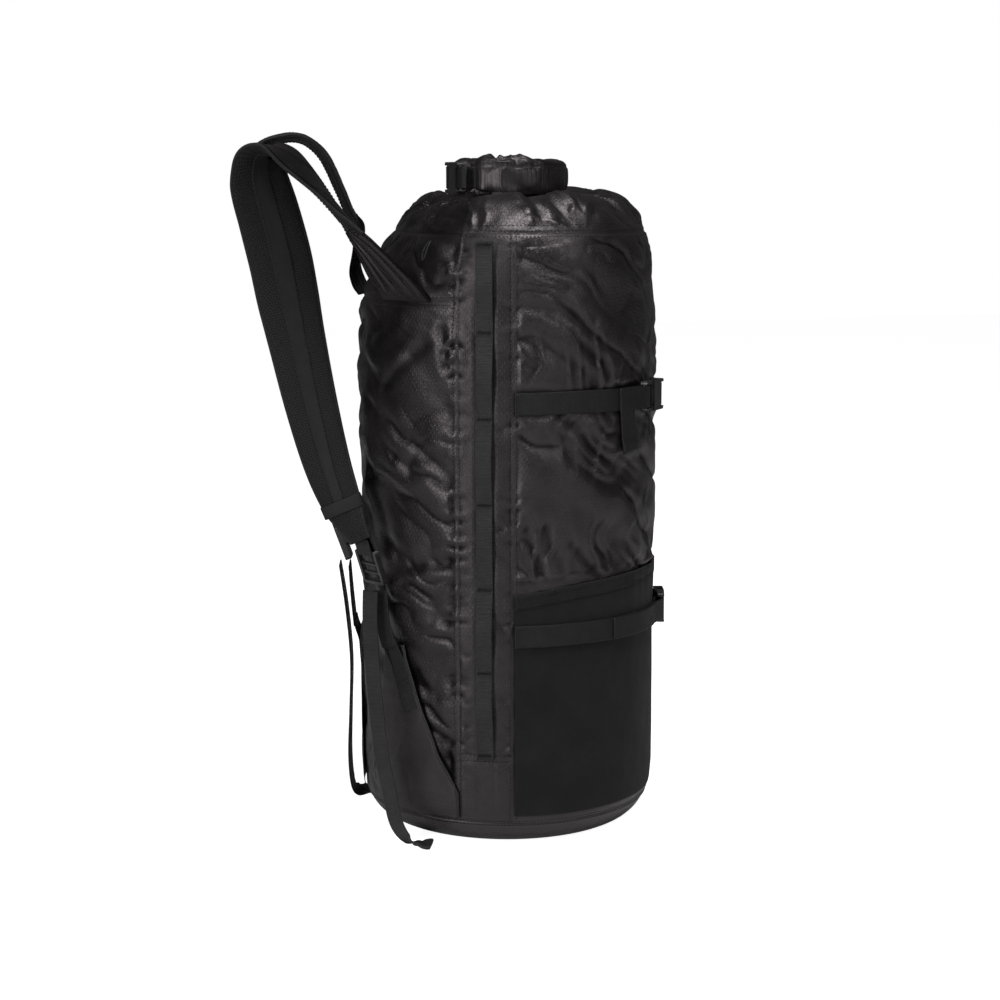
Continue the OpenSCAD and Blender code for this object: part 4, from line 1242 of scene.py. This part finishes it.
def make_strap(side):
    seed = 81 if side == "left" else 91
    strap_layer("shoulder_cover_" + side, side, lambda x: 0.05 + 0 * x, puff, SATIN, "strap_cover",
                ("strap_cover_" + side, "strap_foam_" + side), 0.75, seed)
    strap_layer("shoulder_mesh_" + side, side, lambda x: -puff(x), lambda x: -0.05 + 0 * x, MESH,
                "spacer_mesh", ("strap_mesh_" + side,), 0.35, seed + 4)
    strap_layer("shoulder_channel_" + side, side, lambda x: -puff(x) - CHANNEL_LIFT,
                lambda x: -puff(x) + 0.35, BINDING, "strap_cover", (), 0.25, seed + 8, channel=True)
    make_binding(side)
    sew_strap(side)
    make_keeper(side)
    make_anchor(side)


def make_binding(side):
    """Tape round both long edges of a shoulder strap."""
    centre, wide, out, width, s = line_frames(STRAP_LINES[side], side, 10)
    a = np.linspace(0, 2 * math.pi, 14, endpoint=False)
    outline = facing_out(side, np.stack([1.75 * np.cos(a), 1.5 * np.sin(a)], -1))
    for label, sign in (("a", -1), ("b", 1)):
        shift = sign * (width / 2 - 0.2)[:, None]
        edge = centre + wide * shift + out * 0.25 * noise(s / 18, 0 * s, sign, 6)[:, None]
        obj = sweep(f"shoulder_binding_{side}_{label}", edge * MM, wide, out, outline * MM, BINDING)
        nodes = ("strap_binding_" + side,) if label == "a" else ()
        place(obj, "harness_" + side, "binding", *nodes)


def sew_strap(side):
    """Stitches along a strap's edges, on both faces, and along its webbing channel."""
    centre, wide, out, width, s = line_frames(STRAP_LINES[side], side, 8)
    body = "harness_" + side
    for sign in (-1, 1):
        x = 1 - 5.2 / width * 2
        shift = sign * x * width / 2
        for face in (1, -1):
            lift = face * (puff(np.array(x)) + 0.15)
            line = centre + wide * shift[:, None] + out * lift[:, None]
            stitch(body, line, out * face, sink=0.25)
        rib = sign * (channel_half(s) - 1.3)
        lift = -(puff(rib / (width / 2)) + 0.95)
        keep = (s / s[-1] > 0.05) & (s / s[-1] < 0.92)
        line = centre + wide * rib[:, None] + out * lift[:, None]
        stitch(body, line[keep], -out[keep], sink=0.2)


def make_keeper(side):
    """Elastic keeper round the foot of a strap."""
    centre, wide, out, width, s = line_frames(STRAP_LINES[side], side, 14)
    k = int(np.argmin(np.abs(s / s[-1] - 0.925)))
    count = 48
    a = np.linspace(0, 2 * math.pi, count, endpoint=False)
    half = width[k] / 2 + 2.0
    p = 2 / 3.2
    x = np.sign(np.cos(a)) * np.abs(np.cos(a)) ** p * half
    y = np.sign(np.sin(a)) * np.abs(np.sin(a)) ** p * (STRAP_T / 2 + 1.3)
    ring = centre[k] + wide[k] * x[:, None] + out[k] * y[:, None]
    step = unit(centre[k + 1] - centre[k - 1])
    profile = [(-6, 0.0), (-6, 0.8), (-5, 1.1), (5, 1.1), (6, 0.8), (6, 0.0)]
    outward = unit(ring - centre[k])
    verts = np.stack([ring + step * u + outward * v for u, v in profile], 1)
    n = len(profile)
    uv = np.stack(np.broadcast_arrays(along(ring)[:, None], [[u for u, _ in profile]]), -1)
    faces = [(n * i + c, n * i + (c + 1) % n, n * ((i + 1) % count) + (c + 1) % n,
              n * ((i + 1) % count) + c) for i in range(count) for c in range(n)]
    if side == "left":
        faces = [f[::-1] for f in faces]
    obj = new_object("keeper_" + side, verts.reshape(-1, 3) * MM, faces, uv.reshape(-1, 2) * MM, WEBBING)
    place(obj, "harness_" + side, "webbing")


def make_anchor(side):
    """Gathered foot of a strap, from the yoke seam up to the padded part."""
    centre, wide, out, width, s = line_frames(ANCHOR_LINES[side], side, 12)
    x = np.linspace(-1, 1, 41)
    across = x[None] * (width / 2)[:, None]
    share = (s / s[-1])[:, None]
    seam = mirrored(side, on_pole(61 + 90, 1.0, 0.0))[0]
    seam = seam * np.sign(seam @ wide[0])
    mix = smooth(share, 0, 0.45)
    wide = unit(seam * (1 - mix) + wide * mix)
    gather = (0.5 + 1.1 * share) * np.cos(x[None] * 15 + 2 * noise(x[None] * 2, share * 2, 0, 13))
    gather = gather * (1 - np.abs(x[None]) ** 6) * smooth(share, 0, 0.25)
    thick = 1.0 + 1.6 * smooth(share, 0.2, 1) * pillow(x[None])
    outline = np.concatenate([np.stack([across, gather + thick], -1),
                              np.stack([across, gather - thick], -1)[:, ::-1]], 1)
    obj = sweep("anchor_" + side, centre * MM, wide, out, facing_out(side, outline) * MM, SATIN)
    if side == "left":
        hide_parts("strap_anchors")
    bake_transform(obj)


# ---- harness webbing, tails and wings ----

WEBBING_LINES = {
    "left": [[47, 139.5, 228.5, -24, 20], [50, 138.5, 203, -24, 20], [55.5, 134, 178, -23, 20]],
    "right": [[46, 141.5, 237.5, -20, 20], [50, 138.5, 210, -22, 20], [55.5, 134, 178, -23, 20]],
}
TAIL_LINES = {
    "left": [[48.5, 149, 229, -24, 20], [50, 150, 202, -24, 20], [54, 149.6, 166, -24, 20],
             [58, 147.4, 124, -24, 20], [66, 144.6, 80, -24, 20], [73, 140, 48, -24, 20],
             [81, 136, 20, -24, 20], [89, 128, 6.5, -26, 20], [95, 118, 3, -28, 20],
             [100, 108.5, 3, -28, 20]],
    "right": [[47.5, 150.5, 238, -20, 20], [51, 143.5, 195, -22, 20], [56, 138, 145, -22, 20],
              [60, 138, 95, -22, 20], [65, 138, 50, -24, 20], [73, 134, 19, -24, 20],
              [80.5, 127.5, 6.5, -26, 20], [86.5, 118, 3, -28, 20], [91, 109.5, 3, -28, 20]],
}
LOCKS = {"left": [46, 151, 264, -24], "right": [45, 152.8, 273, -20]}
LOCK_LEAN = -20.0


HEM_LONG = 16                    # millimetres at a tail's end that are folded double


def ribbon(name, side, lines, body, material, node, hem=False):
    """Webbing along a drawn line; gives back its frames and the distance along it."""
    centre, wide, out, _, s = line_frames(lines[side], side, 16)
    flat = facing_out(side, web_section(WEB_W, WEB_T))
    section = np.broadcast_to(flat, (len(s), *flat.shape)).copy()
    if hem:
        section[s > s[-1] - HEM_LONG, :, 1] *= 2.0
    obj = sweep(name, centre * MM, wide, out, section * MM, material)
    place(obj, body, "webbing", node)
    return centre, wide, out, s


def make_lock_tab(side):
    """Webbing that holds the ladder lock by its top bar."""
    x, y, z, turn = LOCKS[side]
    loop = [(-TURN_R, 15), (-TURN_R, 8), (-TURN_R, 3)]
    loop += half_turn(180, 361, 15, TURN_R)
    loop += [(TURN_R, 3), (TURN_R, 8), (TURN_R, 15)]
    lean, spin = math.radians(LOCK_LEAN), math.radians(turn)
    place_lock = np.array(Matrix.Rotation(spin, 3, "Z") @ Matrix.Rotation(lean, 3, "X"))
    centre = np.array([place_lock @ np.array([0, a, b]) + (x, y, z) for a, b in loop])
    wide = np.broadcast_to(place_lock @ np.array([1.0, 0, 0]), centre.shape)
    d = unit(np.gradient(centre, axis=0))
    centre, wide, out = mirrored(side, centre, wide, np.cross(wide, d))
    section = facing_out(side, web_section(WEB_W, WEB_T))
    obj = sweep("lock_tab_" + side, centre * MM, wide, out, section * MM, WEBBING)
    place(obj, "harness_" + side, "webbing")


# Front and back edge of a wing, in its flat pattern: millimetres across, height
WING_EDGE = [(22, 180), (5, 137), (-17, 84), (-36, 50), (-36, 27)]
WING_BACK = [(45, 177), (58, 90), (62, 27)]
WING_ANGLE = 54.0


def wing_point(x, z, r, side):
    phi = WING_ANGLE + np.degrees(np.asarray(x) / SACK_R)
    return on_pole(180 - phi if side == "left" else phi, r, z)


def make_wing(side):
    """Cloth gusset that spreads the harness webbing's pull into the strip's seam."""
    share = np.linspace(0, 1, 90)[:, None]
    u = np.linspace(0, 1, 60)[None]
    edge = np.array(WING_EDGE[::-1], float)
    back = np.array(WING_BACK[::-1], float)
    low_z, high_z = 27 + 0 * u, 180 - 3 * u
    z = low_z + (high_z - low_z) * share
    left_x = np.interp(z, edge[:, 1], edge[:, 0])
    right_x = np.interp(z, back[:, 1], back[:, 0])
    x = left_x + (right_x - left_x) * u
    free = np.exp(-(u / 0.22) ** 2)
    foot = np.interp(z, [20, 34, 50], [135.2, 137.0, 137.8])
    wave = 0.5 * noise(x / 26, z / 30, 0, 51) + 1.2 * free * smooth(z, 50, 90) * (1 - smooth(z, 165, 178))
    lean = 1.0 * (1 - 2 * np.abs(noise((x + 0.45 * z) / 19, z / 80, 0, 53))) * smooth(z, 30, 60)
    r = foot + 0.4 + np.maximum(wave + 0.6 * lean, -0.3)
    points = wing_point(x, z, r, side)
    uv = np.stack([x, z], -1) * MM
    faces = grid_faces(*z.shape)
    if side == "right":
        faces = faces[:, ::-1]
    obj = new_object("wing_" + side, points.reshape(-1, 3) * MM, faces, uv.reshape(-1, 2), LIGHT_STRIP)
    thicken(obj, 0.8)
    place(obj, "sack", "ripstop", *(("strap_wings",) if side == "left" else ()))
    bind_wing(points[:, 0], side)
    z_line = np.linspace(182, 122, 60)
    x_line = np.interp(z_line, [122, 140, 182], [10.0, 16.5, 32.5])
    centre = wing_point(x_line, z_line, 140.4 + 4.0 * smooth(z_line, 160, 182), side)
    normal = unit(centre * (1, 1, 0))
    d = unit(np.gradient(centre, axis=0))
    wide = np.cross(normal, d)
    section = web_section(WEB_W - 1, WEB_T)[::-1] * MM
    obj = sweep("wing_web_" + side, centre * MM, wide, normal, section, WEBBING)
    place(obj, "sack", "webbing", *(("wing_webbing",) if side == "left" else ()))
    for shift in (-8, 8):
        stitch("sack", centre + wide * shift + normal * 0.85, normal, 2.8)
    for k in (3, 6, 33, 36):
        ends = [centre[k] + wide[k] * v + normal[k] * 0.85 for v in (-8, 8)]
        stitch("sack", ends, [normal[k]] * 2, 2.4)


def bind_wing(edge, side):
    """Tape over a wing's free edge."""
    normal = unit(edge * (1, 1, 0))
    d = unit(np.gradient(edge, axis=0))
    wide = np.cross(normal, d)
    a = np.linspace(0, 2 * math.pi, 12, endpoint=False)
    outline = np.stack([1.9 * np.cos(a), 0.95 * np.sin(a)], -1)[::-1] * MM
    # Painted highlight: the tape takes the paler copy of the webbing, as the light line along the edge.
    obj = sweep("wing_edge_" + side, (edge - normal * 0.3) * MM, wide, normal, outline, LIT_WEBBING)
    place(obj, "sack", "binding")


def make_harness():
    for side in ("left", "right"):
        make_strap(side)
        tail = "harness_tail_" + side
        ribbon("harness_web_" + side, side, WEBBING_LINES, "harness_" + side, WEBBING,
               "harness_webbing_" + side)
        # Painted light: the tail is the harness webbing's own free end, given the paler copy while the
        # anchored part stays dark.
        centre, wide, out, s = ribbon("tail_web_" + side, side, TAIL_LINES, tail, LIT_WEBBING, tail,
                                      hem=True)
        k = int(np.argmin(np.abs(s - (s[-1] - HEM_LONG + 2))))
        for face in (1, -1):
            ends = [centre[k] + wide[k] * v + out[k] * 1.5 * face for v in (-8, 8)]
            stitch(tail, ends, [out[k] * face] * 2, 2.4)
        make_lock_tab(side)
        make_wing(side)


# ---- small parts ----

PORT_PHI, PORT_Z, PORT_HALF = 124, 534, 8.0


def make_port():
    """Bound slit for a drinking hose, on the left of the yoke."""
    a = np.linspace(0, 2 * math.pi, 49)
    phi = PORT_PHI + 1.0 * np.cos(a) + 0.8 * np.sin(a)
    points, normals = sample(station(PORT_Z + PORT_HALF * np.sin(a)), phi, 0.5)
    d = unit(np.gradient(points, axis=0))
    wide = np.cross(normals, d)
    ring = np.linspace(0, 2 * math.pi, 12, endpoint=False)
    outline = np.stack([1.0 * np.cos(ring), 0.8 * np.sin(ring)], -1)
    obj = sweep("hose_port_lips", points * MM, wide, normals, outline[::-1] * MM, BINDING, tips=False)
    weld(obj, 0.1)
    place(obj, "sack", "binding", "hose_port")
    # A dark matte sheet, dished into the slit, stands in for the shade inside its opening.
    share = np.linspace(0, 1, 5)[:, None, None]
    centre = points[:-1].mean(0)
    fill = points[None, :-1] * (1 - share) + centre * share - normals[None, :-1] * 0.5 * share
    verts = fill.reshape(-1, 3)
    obj = new_object("hose_port_shade_sheet", verts * MM, grid_faces(5, 48, closed=True), None, BINDING)
    weld(obj, 0.1)
    thicken(obj, 0.5)
    place(obj, "sack", "binding")


LOOP_R, LOOP_Z = 83, 577.5       # where a side loop's bar lies on the shoulder


def make_loop_tabs():
    """Folded webbing under each moulded loop, at the head of the strips."""
    lean = math.radians(-90 + 32)
    radial, tangent = on_pole(90 - LOOP_AWAY, 1.0, 0.0), on_pole(180 - LOOP_AWAY, 1.0, 0.0)
    origin = radial * LOOP_R + UP * LOOP_Z
    # local y and z are up and out, turned by the lean
    local_y = UP * math.cos(lean) + radial * math.sin(lean)
    local_z = -UP * math.sin(lean) + radial * math.cos(lean)
    for side in ("left", "right"):
        loop = [(-14, -TURN_R + 1.0), (-9, -TURN_R), (-4, -TURN_R)]
        loop += half_turn(-90, 91, 15, TURN_R)
        loop += [(-4, TURN_R), (-9, TURN_R), (-14, TURN_R - 1.0)]
        centre = np.array([origin + local_y * p + local_z * q for p, q in loop])
        wide = np.broadcast_to(tangent, centre.shape)
        out = np.cross(wide, unit(np.gradient(centre, axis=0)))
        centre, wide, out = mirrored(side, centre, wide, out)
        section = facing_out(side, web_section(15, WEB_T))
        obj = sweep("loop_web_" + side, centre * MM, wide, out, section * MM, WEBBING)
        place(obj, "sack", "webbing", *(("side_loop_tabs",) if side == "left" else ()))


def dress_hardware():
    """Moulded parts keep their CAD shape, with softened edges and their own plastic."""
    for name, obj in frame["nodes"].items():
        if obj.hide_render:
            continue
        material = BINDING if "seam_tape" in name else STIFF if "stiffener" in name else PLASTIC
        obj.data.materials.clear()
        obj.data.materials.append(material)
        if material is PLASTIC:
            edge = obj.modifiers.new("edge", "BEVEL")
            edge.width = 0.4 * MM
            edge.segments = 2
            edge.limit_method = "ANGLE"
            edge.angle_limit = math.radians(35)
            edge.harden_normals = False


sew_body()
make_compression()
make_daisy("left")
make_daisy("right")
make_pocket()
make_roll("left")
make_roll("right")
make_roll_tabs()
make_harness()
make_port()
make_loop_tabs()
frame["nodes"]["daisy_bartacks"].hide_render = True
make_stitches()
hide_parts("daisy_bartacks")
dress_hardware()


# ---- floor, light and camera ----

def area(name, at, target, size, power):
    light = bpy.data.lights.new(name, "AREA")
    light.shape = "RECTANGLE"
    light.size, light.size_y = size
    light.energy = power
    obj = bpy.data.objects.new(name, light)
    bpy.context.scene.collection.objects.link(obj)
    obj.location = at
    obj.rotation_euler = (Vector(target) - Vector(at)).to_track_quat("-Z", "Y").to_euler()


FILL = 0.06                      # strength of the white surroundings, as the object sees them
FLOOR_HALF = 6.0                 # metres


def make_stage():
    verts = [(x * FLOOR_HALF, y * FLOOR_HALF, 0) for x, y in ((-1, -1), (1, -1), (1, 1), (-1, 1))]
    floor = new_object("floor", verts, [(0, 1, 2, 3)], material=floor_finish(), soft=False)
    floor.location.z = -0.0005
    world = bpy.data.worlds.new("world")
    world.use_nodes = True
    back = world.node_tree.nodes["Background"]
    back.inputs[0].default_value = (1, 1, 1, 1)
    path = world.node_tree.nodes.new("ShaderNodeLightPath")
    seen = world.node_tree.nodes.new("ShaderNodeMapRange")
    seen.inputs[3].default_value, seen.inputs[4].default_value = FILL, 1.0
    world.node_tree.links.new(path.outputs["Is Camera Ray"], seen.inputs[0])
    world.node_tree.links.new(seen.outputs[0], back.inputs[1])
    bpy.context.scene.world = world
    bpy.context.scene.view_settings.view_transform = "Standard"
    centre = Vector((0, 0, 0.32))
    area("key", (-1.3, 2.1, 1.0), centre, (0.5, 1.5), 34)
    area("top", (-0.7, 0.1, 2.3), centre, (0.9, 0.9), 34)
    area("side", (-2.4, -0.9, 1.3), centre, (0.4, 1.3), 12)


CAMERA_AZIMUTH = 110.0           # degrees round from the front, toward the wearer's left and back
CAMERA_FAR = 1.9                 # metres from the sack's axis
CAMERA_HIGH = 0.598
CAMERA_PITCH = 9.0
CAMERA_LENS = 73.3
CAMERA_TURN = 0.197              # degrees that the camera is turned off the sack's axis


def make_camera():
    a = math.radians(CAMERA_AZIMUTH)
    data = bpy.data.cameras.new("camera")
    data.lens = CAMERA_LENS
    data.sensor_width = 36
    data.clip_start, data.clip_end = 0.05, 50
    obj = bpy.data.objects.new("camera", data)
    bpy.context.scene.collection.objects.link(obj)
    obj.location = (-CAMERA_FAR * math.sin(a), -CAMERA_FAR * math.cos(a), CAMERA_HIGH)
    turn = -math.radians(CAMERA_AZIMUTH) + math.radians(CAMERA_TURN)
    obj.rotation_euler = (math.radians(90 - CAMERA_PITCH), 0, turn)
    bpy.context.scene.camera = obj


make_stage()
make_camera()
